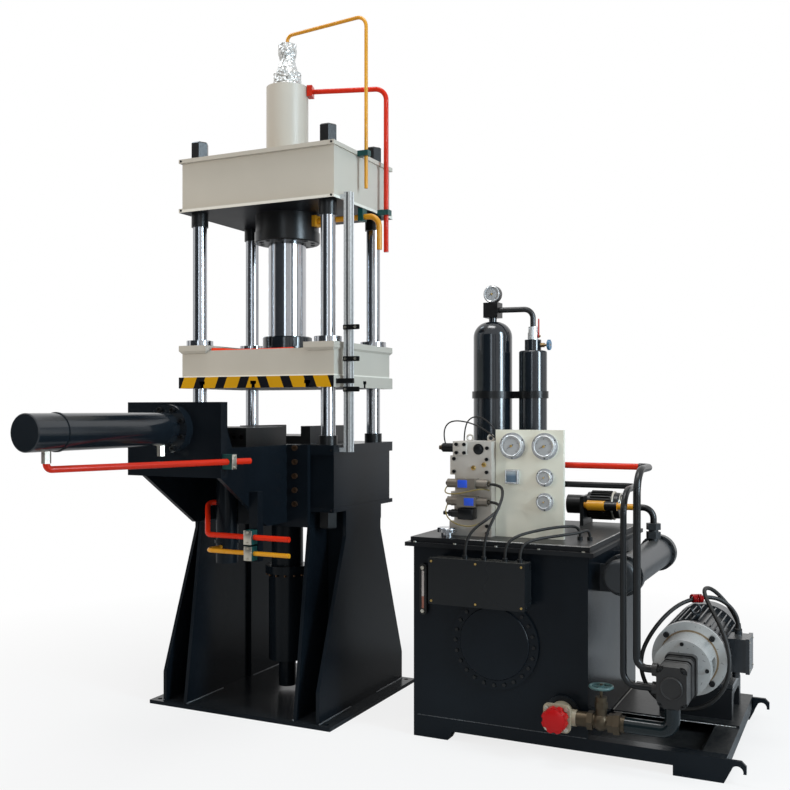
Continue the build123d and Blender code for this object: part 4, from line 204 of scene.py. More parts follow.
# %% [markdown]
# ## Paints
# Machine paint is sprayed: it has a soft orange-peel skin, it is a little uneven in gloss,
# and dust settles on faces that look up. One function makes every paint from its two shades,
# so all paints share that character.

# %% Paints
DUST = rgb(0.070, 0.066, 0.058)


def paint(name, shade, deep_shade, gloss, dust=0.0, specular=0.5, peel=0.35):
    finish = Finish(name)
    cloud = finish.grain(2.2)
    colour = finish.mix(finish.ramp(cloud, 0.35, 0.7), shade, deep_shade)
    if dust:
        upward = finish.ramp(finish.facing()[2], 0.75, 1.0)
        specks = finish.ramp(finish.grain(46, 5), 0.32, 0.68)
        colour = finish.mix(upward * finish.ramp(cloud, 0.15, 0.65) * specks * dust, colour, DUST)
    finish.set(Base_Color=colour, Roughness=finish.ramp(cloud, 0.2, 0.9) * 0.12 + gloss)
    finish.set(Normal=finish.bump(finish.grain(260, 2), 0.0006, peel))
    return finish.set(Specular_IOR_Level=specular)


INK, INK_DEEP = rgb(0.0046, 0.0066, 0.0092), rgb(0.0072, 0.0102, 0.0138)
SOOT, SOOT_DEEP = rgb(0.0045, 0.0048, 0.0052), rgb(0.0085, 0.0088, 0.0092)
YELLOW, YELLOW_DEEP = rgb(0.68, 0.30, 0.012), rgb(0.56, 0.23, 0.010)
# Each paint: shade, deep shade and gloss, then dust, specular level and orange peel
PAINTS = {
    "dark_paint": (INK, INK_DEEP, 0.17, 0.3, 0.12),
    "shell_paint": (rgb(0.0055, 0.0085, 0.012), rgb(0.0085, 0.0125, 0.017), 0.10, 0.1, 0.60, 0.2),
    "gloss_paint": (INK, rgb(0.006, 0.012, 0.012), 0.07, 0.0, 0.28, 0.15),
    "dusty_paint": (rgb(0.0065, 0.0072, 0.0085), rgb(0.016, 0.0165, 0.0175), 0.32, 0.6, 0.16),
    "black_steel": (SOOT, SOOT_DEEP, 0.24, 0.4, 0.28),
    "cast_iron": (rgb(0.0085, 0.008, 0.008), rgb(0.019, 0.0165, 0.015), 0.30, 0.9, 0.34, 0.9),
    "motor_paint": (rgb(0.011, 0.013, 0.016), rgb(0.020, 0.023, 0.026), 0.22, 0.6, 0.48, 0.6),
    "red_paint": (rgb(0.61, 0.024, 0.006), rgb(0.51, 0.018, 0.005), 0.12, 0.04, 0.18),
    "strip_red": (rgb(0.92, 0.055, 0.014), rgb(0.84, 0.048, 0.012), 0.3, 0.0, 0.1),
    "yellow_paint": (YELLOW, YELLOW_DEEP, 0.22, 0.1, 0.35),
    "return_line": (YELLOW, YELLOW_DEEP, 0.22, 0.1, 0.35),
    "cream_paint": (rgb(0.76, 0.73, 0.62), rgb(0.71, 0.68, 0.56), 0.34, 0.0, 0.3),
    "ivory_paint": (rgb(0.52, 0.45, 0.34), rgb(0.36, 0.29, 0.20), 0.35, 0.3, 0.35),
    "filter_paint": (rgb(0.36, 0.305, 0.215), rgb(0.24, 0.190, 0.130), 0.35, 0.3, 0.30),
    "teal_paint": (rgb(0.020, 0.062, 0.062), rgb(0.080, 0.135, 0.132), 0.3, 0.0, 0.4),
    "clamp_plastic": (rgb(0.004, 0.050, 0.046), rgb(0.010, 0.075, 0.068), 0.3, 0.0, 0.35),
    "grey_paint": (rgb(0.016, 0.018, 0.020), rgb(0.030, 0.032, 0.034), 0.3, 0.8, 0.3),
    "box_paint": (rgb(0.0075, 0.0085, 0.0095), rgb(0.010, 0.011, 0.012), 0.22, 1.6, 0.24),
    "red_plastic": (rgb(0.43, 0.006, 0.007), rgb(0.34, 0.005, 0.006), 0.20, 0.0, 0.18),
    "wheel_blue": (rgb(0.030, 0.110, 0.200), rgb(0.050, 0.160, 0.270), 0.3, 0.0, 0.4),
    "blue_plastic": (rgb(0.020, 0.085, 0.62), rgb(0.016, 0.070, 0.52), 0.28, 0.0, 0.4),
    "lead_yellow": (rgb(0.20, 0.14, 0.022), rgb(0.10, 0.075, 0.018), 0.34),
    "meter_glass": (rgb(0.16, 0.24, 0.32), rgb(0.03, 0.05, 0.08), 0.06),
}
finishes = {name: paint(name, *recipe) for name, recipe in PAINTS.items()}
print("paints:", len(finishes))

# %% [markdown]
# ## Metals
# Bare metal has no colour of its own; it shows what stands around it. What tells chrome from
# machined steel or cast brass is how rough it is and which way its fine marks run, so each
# metal gets its own stretched grain.


# %% Metals
def metal(name, shade, deep_shade, rough, grain_scale, stretch, marks, share=1.0):
    finish = Finish(name)
    lines = finish.grain(grain_scale, 3, stretch)
    cloud = finish.grain(3.0)
    colour = finish.mix(finish.ramp(cloud, 0.3, 0.75), shade, deep_shade)
    finish.set(Base_Color=colour, Metallic=share)
    finish.set(Roughness=finish.ramp(lines, 0.3, 0.7) * 0.10 + rough)
    return finish.set(Normal=finish.bump(lines, marks))


EVEN = (1, 1, 1)
# Each metal: shade, deep shade and roughness, then scale, stretch and depth of its grain
# and, for a dull or dirty one, the share of it that acts as metal
METALS = {
    "chrome": (rgb(0.43, 0.44, 0.46), rgb(0.35, 0.36, 0.38), 0.08, 40, (1, 1, 30), 1e-5),
    "aluminium": (rgb(0.47, 0.465, 0.45), rgb(0.40, 0.39, 0.37), 0.26, 60, (1, 14, 1), 2e-5, 0.45),
    "machined_steel": (rgb(0.055, 0.056, 0.058), rgb(0.032, 0.031, 0.030), 0.30, 30, (1, 12, 4), 2e-4),
    "brass": (rgb(0.085, 0.062, 0.036), rgb(0.034, 0.027, 0.020), 0.36, 24, EVEN, 6e-4, 0.8),
    "plated_block": (rgb(0.63, 0.60, 0.55), rgb(0.42, 0.36, 0.30), 0.38, 12, (2, 1, 6), 3e-4, 0.35),
    "rail_alloy": (rgb(0.70, 0.71, 0.71), rgb(0.60, 0.61, 0.61), 0.24, 60, (14, 14, 1), 5e-5, 0.45),
    "cast_zinc": (rgb(0.34, 0.31, 0.27), rgb(0.13, 0.105, 0.08), 0.36, 18, (2, 1, 2), 4e-4, 0.5),
    "gauge_case": (rgb(0.74, 0.74, 0.74), rgb(0.64, 0.64, 0.64), 0.18, 40, EVEN, 3e-5, 0.65),
    "bottle_valve_metal": (rgb(0.30, 0.20, 0.09), rgb(0.16, 0.11, 0.06), 0.32, 24, EVEN, 4e-4, 0.7),
    "bolt_zinc": (rgb(0.62, 0.60, 0.54), rgb(0.46, 0.42, 0.34), 0.26, 30, EVEN, 1e-4),
    "bolt_brass": (rgb(0.62, 0.44, 0.16), rgb(0.45, 0.30, 0.10), 0.25, 30, EVEN, 1e-4),
    "bolt_rust": (rgb(0.16, 0.085, 0.045), rgb(0.07, 0.045, 0.03), 0.45, 40, EVEN, 3e-4),
    "weld": (rgb(0.12, 0.125, 0.13), rgb(0.05, 0.052, 0.055), 0.3, 50, EVEN, 3e-4),
    "bare_weld": (rgb(0.52, 0.51, 0.49), rgb(0.12, 0.11, 0.10), 0.34, 22, EVEN, 4e-4),
}
finishes.update({name: metal(name, *recipe) for name, recipe in METALS.items()})
print("metals added, finishes now", len(finishes))

# %% [markdown]
# ## Second shades
# Some solids carry two finishes. The bell is oily at the root of its flange, the rail's grooves
# get painted shade, and the return line changes from yellow pipe to black hose and back. The paint
# reads the place on the object, so a comparison such as `z > level` marks out each area.

# %% Second shades
BELL_X, BELL_Z, ROOT_IN, ROOT_OUT, FLANGE_SKIN = 2.240, 0.434, 0.1285, 0.1370, -0.002
bell = finishes["aluminium"]
x, y, z = bell.axes()
aside, above = x - BELL_X, z - BELL_Z
reach = aside * aside + above * above
oily_root = (reach > ROOT_IN**2) * (reach < ROOT_OUT**2) * (y > FLANGE_SKIN)
bell.over(oily_root, rgb(0.24, 0.17, 0.10))

RAIL_WIDTH, SKIN = 0.040, 0.001
rail_low, rail_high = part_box("switch_rail")
rail = finishes["rail_alloy"]
x, y, z = rail.axes()
# Painted shade: the grooves of the rail are painted near black.
groove_shade = (x > rail_high.x - RAIL_WIDTH + SKIN) * (x < rail_high.x - SKIN)
groove_shade = groove_shade * (y > rail_low.y + SKIN) * (y < rail_high.y - SKIN)
rail.over(groove_shade, rgb(0.010, 0.010, 0.011))

HOSE_START, HOSE_END, PIPE_END = 1.722, 1.790, 1.905
return_line = finishes["return_line"]
x, y, z = return_line.axes()
return_line.over((x > HOSE_START) * (x < HOSE_END) + (x > PIPE_END), SOOT)

VALVE_REACH = 0.036
bottle_low, bottle_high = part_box("nitrogen_bottle")
bottle_x = (bottle_low.x + bottle_high.x) / 2
valve_metal = finishes["bottle_valve_metal"]
valve_metal.over(valve_metal.axes()[0] < bottle_x + VALVE_REACH, rgb(0.66, 0.67, 0.67))

SENSOR_LEVEL, FILTER_FLANGE_Y = 1.36, -0.3865
valve_zinc, filter_paint = finishes["cast_zinc"], finishes["filter_paint"]
valve_zinc.over(valve_zinc.axes()[2] > SENSOR_LEVEL, SOOT)
filter_paint.over(filter_paint.axes()[1] > FILTER_FLANGE_Y, INK)
print("second shades laid")

# %% [markdown]
# ## Beam and platen paint
# The top beam is beige with a black underside. The platen is beige too, and the front of its
# face plate is a black and yellow hazard band: the stripes lean one way on the left, the other
# way on the right, and meet in the middle.

# %% Beam and platen paint
BEIGE, BEIGE_DEEP = rgb(0.53, 0.485, 0.415), rgb(0.48, 0.44, 0.375)
BLACK = rgb(0.006, 0.006, 0.008)
HAZARD_YELLOW = rgb(0.60, 0.30, 0.005)
# The lighter beige on the next line is a painted highlight along the beam's bottom lip and the platen's
# ledge.
LIP, LEDGE, EDGE_HIGHLIGHT = 0.016, 0.007, rgb(0.74, 0.70, 0.62)
PLATEN_BAND, BAND_EDGE = 0.062, 0.0005
STRIPE_PITCH, STRIPE_START, STRIPE_FILL, STRIPE_LEAN = 0.146, 0.039, 0.60, 0.4


def beige_finish(name, specular=0.4):
    finish = Finish(name)
    cloud = finish.grain(1.6)
    finish.set(Base_Color=finish.mix(finish.ramp(cloud, 0.35, 0.7), BEIGE, BEIGE_DEEP))
    finish.set(Roughness=finish.ramp(cloud, 0.2, 0.9) * 0.15 + 0.34, Specular_IOR_Level=specular)
    finish.set(Normal=finish.bump(finish.grain(240, 2), 0.0006, 0.3))
    finishes[name] = finish
    return finish


beige_finish("beige_paint")

beam_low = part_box("top_beam")[0]
beam_paint = beige_finish("beam_paint", 0.14)
level = beam_paint.axes()[2]
# Painted highlight: a lighter band along the bottom edge of the beam stands for its lit lip.
beam_paint.over(level < beam_low.z + LIP, EDGE_HIGHLIGHT)
beam_paint.over(level < beam_low.z + SKIN, BLACK)

platen_low, platen_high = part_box("moving_platen")
band_top = platen_low.z + PLATEN_BAND
hazard = beige_finish("platen_paint", 0.12)
x, y, z = hazard.axes()
reach = abs(x) + (z - platen_low.z) * STRIPE_LEAN + STRIPE_START
stripe = hazard.node("ShaderNodeMath", {"operation": "FRACT"}, {0: reach / STRIPE_PITCH})
band = (z < band_top - BAND_EDGE) * (y < platen_low.y + SKIN)
# Painted shade: inside the platen's outline and below the band, the T-slots are painted black; the
# underside is black too.
slot_shade_and_underside = (y > platen_low.y + SKIN) * (y < platen_high.y - SKIN)
slot_shade_and_underside = slot_shade_and_underside * (x > platen_low.x + SKIN) * (x < platen_high.x - SKIN)
# Painted highlight: a lighter line along the top of the hazard band.
hazard.over((z > band_top - BAND_EDGE) * (z < band_top + LEDGE), EDGE_HIGHLIGHT)
hazard.over(band, hazard.mix(stripe < STRIPE_FILL, BLACK, HAZARD_YELLOW))
hazard.over(slot_shade_and_underside * (z < band_top - SKIN), BLACK)
print("hazard stripe every", STRIPE_PITCH, "m")

# %% [markdown]
# ## Rubber, glass fronts and film
# Cable sheath is dull and finely scuffed. The film round the valve on top is thin, shiny and
# crumpled; a Voronoi pattern gives its sharp little facets. The oil gauge is a dark frame
# round a narrow tube, and a dial's face is off-white paper behind glass.

# %% Rubber and film
rubber = finishes["cable_rubber"] = Finish("cable_rubber")
scuff = rubber.grain(90, 5)
rubber.set(Base_Color=rubber.mix(scuff, rgb(0.005, 0.005, 0.005), rgb(0.018, 0.016, 0.014)))
rubber.set(Roughness=scuff * 0.25 + 0.38, Specular_IOR_Level=0.25)
rubber.set(Normal=rubber.bump(scuff, 0.0006))

film = finishes["film"] = Finish("crinkled_film")
facets = film.node("ShaderNodeTexVoronoi", inputs={0: film.place(), "Scale": 60})
creases = film.ramp(facets, 0.1, 0.75)
# Painted shade: each facet of the film is painted darker towards its creases.
film.set(Base_Color=film.mix(creases, rgb(0.74, 0.74, 0.72), rgb(0.46, 0.45, 0.43)))
film.set(Metallic=creases * 0.4 + 0.25, Roughness=0.2, Normal=film.bump(facets, 0.003))

LEVEL_X, TUBE_HALF = 1.027, 0.006
LEVEL_LOW, LEVEL_HIGH, OIL_MARK = 0.640, 0.826, 0.700
sight = finishes["clear_plastic"] = Finish("sight_glass")
x, y, z = sight.axes()
tube = (abs(x - LEVEL_X) < TUBE_HALF) * (z > LEVEL_LOW) * (z < LEVEL_HIGH)
column = sight.mix(z < OIL_MARK, rgb(0.42, 0.38, 0.36), rgb(0.26, 0.10, 0.07))
sight.set(Base_Color=sight.mix(tube, SOOT, column), Roughness=0.22, Specular_IOR_Level=0.3)

dial_white = finishes["dial_face"] = Finish("dial_face")
paper = dial_white.mix(dial_white.grain(30), rgb(0.46, 0.46, 0.46), rgb(0.36, 0.36, 0.36))
dial_white.set(Base_Color=paper, Roughness=0.16)
print("finishes:", len(finishes))

# %% [markdown]
# ## Finishes on the solids
# Every solid already names a material slot in its record. We put our own finish of that name
# on it, and change only the few solids that need a special one.

# %% Put finishes on the solids
SPECIAL = {
    "top_beam": "beam_paint",
    "moving_platen": "platen_paint",
    "yellow_pipes": "return_line",
    "suction_pipe": "gloss_paint",
    "tank_lid": "dusty_paint",
    "motor_stand": "dusty_paint",
    "skid_cross_members": "dusty_paint",
    "gear_pump": "cast_iron",
    "drive_motor": "motor_paint",
    "slide_block": "machined_steel",
    "die_clamps": "machined_steel",
    "side_fittings": "bolt_zinc",
    "accumulator": "shell_paint",
    "nitrogen_bottle": "shell_paint",
    "side_cylinder": "shell_paint",
    "ram_flange": "shell_paint",
    "bottle_valves": "bottle_valve_metal",
    "needle_handwheel": "wheel_blue",
    "control_valves": "cast_zinc",
    "suction_filter": "filter_paint",
    "switch_rail": "rail_alloy",
    "junction_box": "box_paint",
    "pipe_clamps": "clamp_plastic",
}
slots = {part["node"]: part["material_slot"] for part in frame["record"]["subparts"]}
for name, solid in nodes.items():
    finish = finishes[SPECIAL.get(name, slots[name])]
    solid.data.materials.clear()
    solid.data.materials.append(finish.material)
print("painted solids:", len(nodes))

# %% [markdown]
# ## Castings with clean shading
# A round casting shows every fault in its shading. A copy of the solid with its loose triangles
# merged can be shaded smooth, with a crease wherever two faces meet at an angle, so the copy is
# shown and the solid stays behind it for collision.

# %% Merged copies of the castings
BODY = "machine"
CASTING_CREASE = 16


def merged_copy(name):
    shape = bmesh.new()
    shape.from_mesh(nodes[name].data)
    bmesh.ops.remove_doubles(shape, verts=shape.verts, dist=1e-5)
    mesh = bpy.data.meshes.new(name + "_casting")
    shape.to_mesh(mesh)
    shape.free()
    if "custom_normal" in mesh.attributes:
        mesh.attributes.remove(mesh.attributes["custom_normal"])
    mesh.materials.clear()
    mesh.materials.append(nodes[name].data.materials[0])
    mesh.shade_smooth()
    mesh.set_sharp_from_angle(angle=math.radians(CASTING_CREASE))
    made = bpy.data.objects.new(name + "_casting", mesh)
    bpy.context.collection.objects.link(made)
    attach(made, BODY)
    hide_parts(name)
    print(made.name, len(mesh.polygons), "faces")


for casting in ("bell_housing", "gate_valve", "suction_filter", "gear_pump", "oil_cooler"):
    merged_copy(casting)

# %% [markdown]
# ## Making pieces
# Small helpers build a mesh in place, so that the finished object sits at the origin like the
# solids do. A turned shape is a profile of radius and height swung round an axis.


# %% Mesh helpers
def turned_to(axis, centre):
    """The matrix that carries +Z to axis and the origin to centre."""
    return Matrix.Translation(centre) @ UP.rotation_difference(Vector(axis)).to_matrix().to_4x4()


def piece(name, shape, finish, body=BODY, crease=35):
    """Turn a bmesh into an object that rides on a body."""
    bmesh.ops.remove_doubles(shape, verts=shape.verts, dist=1e-6)
    bmesh.ops.recalc_face_normals(shape, faces=shape.faces)
    mesh = bpy.data.meshes.new(name)
    shape.to_mesh(mesh)
    shape.free()
    mesh.materials.append(finishes[finish].material)
    mesh.shade_smooth()
    mesh.set_sharp_from_angle(angle=math.radians(crease))
    made = bpy.data.objects.new(name, mesh)
    bpy.context.collection.objects.link(made)
    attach(made, body)
    print(name, len(mesh.polygons), "faces")
    return made


def skin(shape, rings, endless=False):
    """Join each ring of corners to the next, and the last to the first or else cap both ends."""
    pairs = list(zip(rings, rings[1:])) + [(rings[-1], rings[0])] * endless
    for low, high in pairs:
        for step in range(len(low)):
            after = (step + 1) % len(low)
            shape.faces.new((low[step], low[after], high[after], high[step]))
    if not endless:
        shape.faces.new(list(reversed(rings[0])))
        shape.faces.new(rings[-1])


def turn(shape, profile, axis, centre, steps=40):
    """Add a turned form: profile is a list of (radius, height) from one end to the other."""
    place = turned_to(axis, centre)
    ways = [(math.cos(a), math.sin(a)) for a in (math.tau * step / steps for step in range(steps))]
    rings = []
    for radius, height in profile:
        points = [place @ Vector((radius * east, radius * north, height)) for east, north in ways]
        rings.append([shape.verts.new(point) for point in points])
    skin(shape, rings)


def ring_form(shape, radius, wire, axis, centre, steps=40, sides=10):
    """Add a round ring of round wire."""
    place = turned_to(axis, centre)
    loops = []
    for step in range(steps):
        a = math.tau * step / steps
        loop = []
        for side in range(sides):
            b = math.tau * side / sides
            reach = radius + wire * math.cos(b)
            point = Vector((reach * math.cos(a), reach * math.sin(a), wire * math.sin(b)))
            loop.append(shape.verts.new(place @ point))
        loops.append(loop)
    skin(shape, loops, endless=True)


def block(shape, low, high, bevel=0.002):
    """Add a block between two corners, with softened edges."""
    made = bmesh.ops.create_cube(shape, size=1.0)["verts"]
    low, high = Vector(low), Vector(high)
    for vert in made:
        vert.co = Vector([low[i] + (vert.co[i] + 0.5) * (high[i] - low[i]) for i in range(3)])
    edges = list({edge for vert in made for edge in vert.link_edges})
    bmesh.ops.bevel(shape, geom=edges, offset=bevel, segments=2, affect="EDGES", profile=0.5)


def upright(shape, middle, half_x, half_z, front, back, bevel=0.002):
    """Add an upright block round a point (x, z) of the front view."""
    x, z = middle
    block(shape, (x - half_x, front, z - half_z), (x + half_x, back, z + half_z), bevel)


print("mesh helpers ready")

# %% [markdown]
# ## Cables
# A cable is one smooth line: a NURBS spline whose control points are the cable's route. The
# spare motor cable comes out on top of the motor's terminal box, is taped to the eyebolt, hangs
# once round the front of the motor, goes back over the top and hangs down behind the box.

# %% Motor cable
CABLE_DIAMETER = 0.020
CABLE_ROUTE = (
    (2.430, 0.285, 0.530), (2.430, 0.285, 0.576), (2.413, 0.287, 0.619), (2.376, 0.280, 0.662),
    (2.318, 0.254, 0.692), (2.244, 0.206, 0.690), (2.170, 0.150, 0.664), (2.106, 0.096, 0.606),
    (2.050, 0.046, 0.526), (2.014, 0.004, 0.440), (2.020, -0.032, 0.348), (2.070, -0.050, 0.262),
    (2.148, -0.058, 0.214), (2.238, -0.060, 0.204), (2.326, -0.054, 0.232), (2.396, -0.044, 0.298),
    (2.428, -0.030, 0.390), (2.424, 0.000, 0.486), (2.386, 0.044, 0.578), (2.334, 0.098, 0.650),
    (2.290, 0.160, 0.708), (2.274, 0.232, 0.734), (2.292, 0.304, 0.728), (2.330, 0.354, 0.688),
    (2.390, 0.382, 0.608), (2.424, 0.398, 0.522), (2.436, 0.404, 0.446),
)


def smooth_line(name, points, diameter, finish):
    """One NURBS spline through the room of its control points, as a round cable."""
    line = bpy.data.curves.new(name, "CURVE")
    line.dimensions = "3D"
    spline = line.splines.new("NURBS")
    spline.points.add(len(points) - 1)
    for knot, point in zip(spline.points, points):
        knot.co = (*point, 1.0)
    spline.order_u = 3
    spline.use_endpoint_u = True
    spline.resolution_u = 8
    line.bevel_resolution = 5
    line.use_fill_caps = True
    line.materials.append(finishes[finish].material)
    made = bpy.data.objects.new(name, line)
    bpy.context.collection.objects.link(made)
    bare = bpy.data.meshes.new_from_object(made)
    spots = [vertex.co for vertex in bare.vertices]
    length = sum((spots[i] - spots[j]).length for i, j in (edge.vertices for edge in bare.edges))
    line.bevel_depth = diameter / 2
    return made, length


motor_cable, cable_length = smooth_line("motor_cable_line", CABLE_ROUTE, CABLE_DIAMETER, "cable_rubber")
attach(motor_cable, BODY)
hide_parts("motor_cable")
print("motor cable", round(cable_length, 3), "m")

# %% Control cables
LEAD_DIAMETER = 0.014
LEAD_ROUTES = (
    ((1.276, -0.455, 0.925), (1.276, -0.455, 0.985), (1.310, -0.440, 1.050), (1.370, -0.385, 1.100),
     (1.400, -0.315, 1.140), (1.375, -0.272, 1.166), (1.324, -0.272, 1.166)),
    ((1.372, -0.455, 0.925), (1.372, -0.455, 0.990), (1.395, -0.440, 1.070), (1.425, -0.400, 1.150),
     (1.425, -0.330, 1.215), (1.390, -0.272, 1.254), (1.324, -0.272, 1.254)),
    ((1.477, -0.455, 0.925), (1.477, -0.455, 0.985), (1.520, -0.425, 1.028), (1.610, -0.340, 1.052),
     (1.695, -0.235, 1.062), (1.752, -0.150, 1.056), (1.752, -0.150, 1.008)),
    ((1.550, -0.455, 0.925), (1.550, -0.455, 0.980), (1.596, -0.420, 1.014), (1.690, -0.330, 1.026),
     (1.768, -0.232, 1.034), (1.800, -0.150, 1.044), (1.800, -0.150, 1.008)),
)


def held_lead(name, route, diameter, finish="cable_rubber"):
    """A lead that is held at both ends."""
    lead, length = smooth_line(name, route, diameter, finish)
    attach(lead, BODY)
    print(name, round(length, 3), "m")
    return lead


leads = [
    held_lead(f"control_cable_{number}", route, LEAD_DIAMETER)
    for number, route in enumerate(LEAD_ROUTES, start=1)
]
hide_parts("control_cables")

# %% [markdown]
# ## Copies by Geometry Nodes
# A machine like this has hundreds of bolt heads, and rows of fins and weld beads. Geometry Nodes
# put one form on every point of a small mesh, each turned to the point's own axis. All these
# trees end alike: the copies are made real and get their finish.


# %% A tree of copies, and the mesh it leaves
class CopyTree:
    """A Geometry Nodes tree that puts copies of one form on points."""

    def __init__(self, name, inputs):
        self.tree = bpy.data.node_groups.new(name, "GeometryNodeTree")
        for label, kind in {"Geometry": "Geometry", **inputs, "Finish": "Material"}.items():
            self.tree.interface.new_socket(label, in_out="INPUT", socket_type="NodeSocket" + kind)
        self.tree.interface.new_socket("Geometry", in_out="OUTPUT", socket_type="NodeSocketGeometry")
        self.given = self.tree.nodes.new("NodeGroupInput").outputs

    def add(self, kind, inputs, output=0, **settings):
        """Make a node and give back one of its outputs."""
        made = self.tree.nodes.new(kind)
        for key, value in settings.items():
            setattr(made, key, value)
        for key, value in inputs.items():
            if isinstance(value, bpy.types.NodeSocket):
                self.tree.links.new(value, made.inputs[key])
            else:
                made.inputs[key].default_value = value
        return made.outputs[output]

    def times(self, value, share):
        return self.add("ShaderNodeMath", {0: value, 1: share}, operation="MULTIPLY")

    def raised(self, form, height):
        shift = self.add("ShaderNodeCombineXYZ", {"Z": height})
        return self.add("GeometryNodeTransform", {"Geometry": form, "Translation": shift})

    def turned(self):
        """The turn that carries +Z to each point's own axis."""
        axis = self.add("GeometryNodeInputNamedAttribute", {"Name": "axis"}, data_type="FLOAT_VECTOR")
        return self.add("FunctionNodeAlignRotationToVector", {"Vector": axis}, axis="Z")

    def end(self, points, form, **how):
        """Copy the form to the points, make the copies real and put the finish on them."""
        copies = self.add("GeometryNodeInstanceOnPoints", {"Points": points, "Instance": form, **how})
        real = self.add("GeometryNodeRealizeInstances", {0: copies})
        dressing = {"Geometry": real, "Material": self.given["Finish"]}
        dressed = self.add("GeometryNodeSetMaterial", dressing)
        self.tree.links.new(dressed, self.tree.nodes.new("NodeGroupOutput").inputs[0])
        return self.tree


def copied(name, tree, mesh, values, finish):
    """Run a tree on a mesh, and keep its copies as one plain mesh that rides on the machine."""
    made = bpy.data.objects.new(name, mesh)
    bpy.context.collection.objects.link(made)
    modifier = made.modifiers.new("copies", "NODES")
    modifier.node_group = tree
    values = {**values, "Finish": finishes[finish].material}
    for item in tree.interface.items_tree:
        if item.in_out == "INPUT" and item.name in values:
            modifier[item.identifier] = values[item.name]
    evaluated = made.evaluated_get(bpy.context.evaluated_depsgraph_get())
    plain = bpy.data.meshes.new_from_object(evaluated)
    made.modifiers.clear()
    made.data = plain
    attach(made, BODY)
    print(name, len(plain.polygons), "faces")
    return plain


def dotted(name, tree, places, values, finish):
    """A tree's copies on a list of (point, axis)."""
    mesh = bpy.data.meshes.new(name)
    mesh.from_pydata([point for point, axis in places], [], [])
    axes = mesh.attributes.new("axis", "FLOAT_VECTOR", "POINT")
    for entry, (point, axis) in zip(axes.data, places):
        entry.vector = axis
    copied(name, tree, mesh, values, finish).set_sharp_from_angle(angle=math.radians(30))


print("tree of copies ready")

# %% [markdown]
# ## Bolts
# The socket cap's hexagon is cut out of the head once, before it is copied, so the copies cost
# nothing. Rings and rows of points say where the heads go.

# %% Bolt heads
KEY_SHARE = 0.58


def bolt_tree(name, sides, socket):
    tree = CopyTree(name, {"Head radius": "Float", "Head height": "Float"})
    radius, height = tree.given["Head radius"], tree.given["Head height"]
    head = tree.add("GeometryNodeMeshCylinder", {"Vertices": sides, "Radius": radius, "Depth": height})
    head = tree.raised(head, tree.times(height, 0.5))
    if socket:
        size = {"Vertices": 6, "Radius": tree.times(radius, KEY_SHARE), "Depth": height}
        key = tree.raised(tree.add("GeometryNodeMeshCylinder", size), height)
        head = tree.add("GeometryNodeMeshBoolean", {"Mesh 1": head, "Mesh 2": key}, operation="DIFFERENCE")
    return tree.end(tree.given["Geometry"], head, Rotation=tree.turned())


HEX_TREE = bolt_tree("hex_heads", 6, False)
CAP_TREE = bolt_tree("socket_cap_heads", 20, True)


def bolts(name, tree, places, radius, height, finish):
    """Bolt heads of one size on a list of (point, axis)."""
    dotted(name, tree, places, {"Head radius": radius, "Head height": height}, finish)


def bolt_ring(centre, axis, radius, count, phase=0.0):
    """Points spaced round a circle."""
    place = turned_to(axis, centre)
    axis = Vector(axis)
    angles = [math.tau * (step + phase) / count for step in range(count)]
    return [(place @ Vector((radius * math.cos(a), radius * math.sin(a), 0)), axis) for a in angles]


def four(centre, across, rise):
    """The corners of an upright rectangle that looks to the front."""
    x, y, z = centre
    return [((x + i * across, y, z + j * rise), FRONT) for i in (-1, 1) for j in (-1, 1)]


print("bolt trees ready")

# %% Bolts of the press
side_low, side_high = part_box("side_cylinder")
gland_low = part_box("cylinder_gland")[0]
SIDE_FLANGE_Y, BACK_PLATE_Y, SHOT_FLANGE_Z = -1.082, -0.380, 0.690
side_flange = (0, SIDE_FLANGE_Y, (side_low.z + side_high.z) / 2)
ring = bolt_ring(side_flange, FRONT, 0.099, 8, 0.5)
bolts("side_flange_bolts", CAP_TREE, ring, 0.012, 0.014, "black_steel")
ring = bolt_ring((0, 0, gland_low.z), -UP, 0.150, 12, 0.5)
bolts("gland_bolts", CAP_TREE, ring, 0.013, 0.003, "black_steel")
BACK_PLATE_X, BACK_PLATE_BOLTS = 0.285, (1.419, 1.345, 1.271, 1.197, 1.124)
rows = [
    ((side * BACK_PLATE_X, BACK_PLATE_Y, z), FRONT) for side in (-1, 1) for z in BACK_PLATE_BOLTS
]
bolts("back_plate_bolts", CAP_TREE, rows, 0.015, 0.014, "bolt_rust")
ring = bolt_ring((0, 0, SHOT_FLANGE_Z), -UP, 0.1155, 14)
bolts("injection_flange_bolts", HEX_TREE, ring, 0.008, 0.012, "bolt_rust")
SCREW_IN, SCREW_UP = 0.015, 0.011
corners = []
for node_name, drop in (("top_beam", 0.011), ("lower_table", 0.026)):
    low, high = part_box(node_name)
    for edge_z in (low.z + SCREW_UP, high.z - drop):
        for side in (low.x + SCREW_IN, high.x - SCREW_IN):
            corners.append(((side, low.y, edge_z), FRONT))
            corners.append(((side, high.y, edge_z), -FRONT))
bolts("plate_corner_screws", CAP_TREE, corners, 0.006, 0.003, "black_steel")

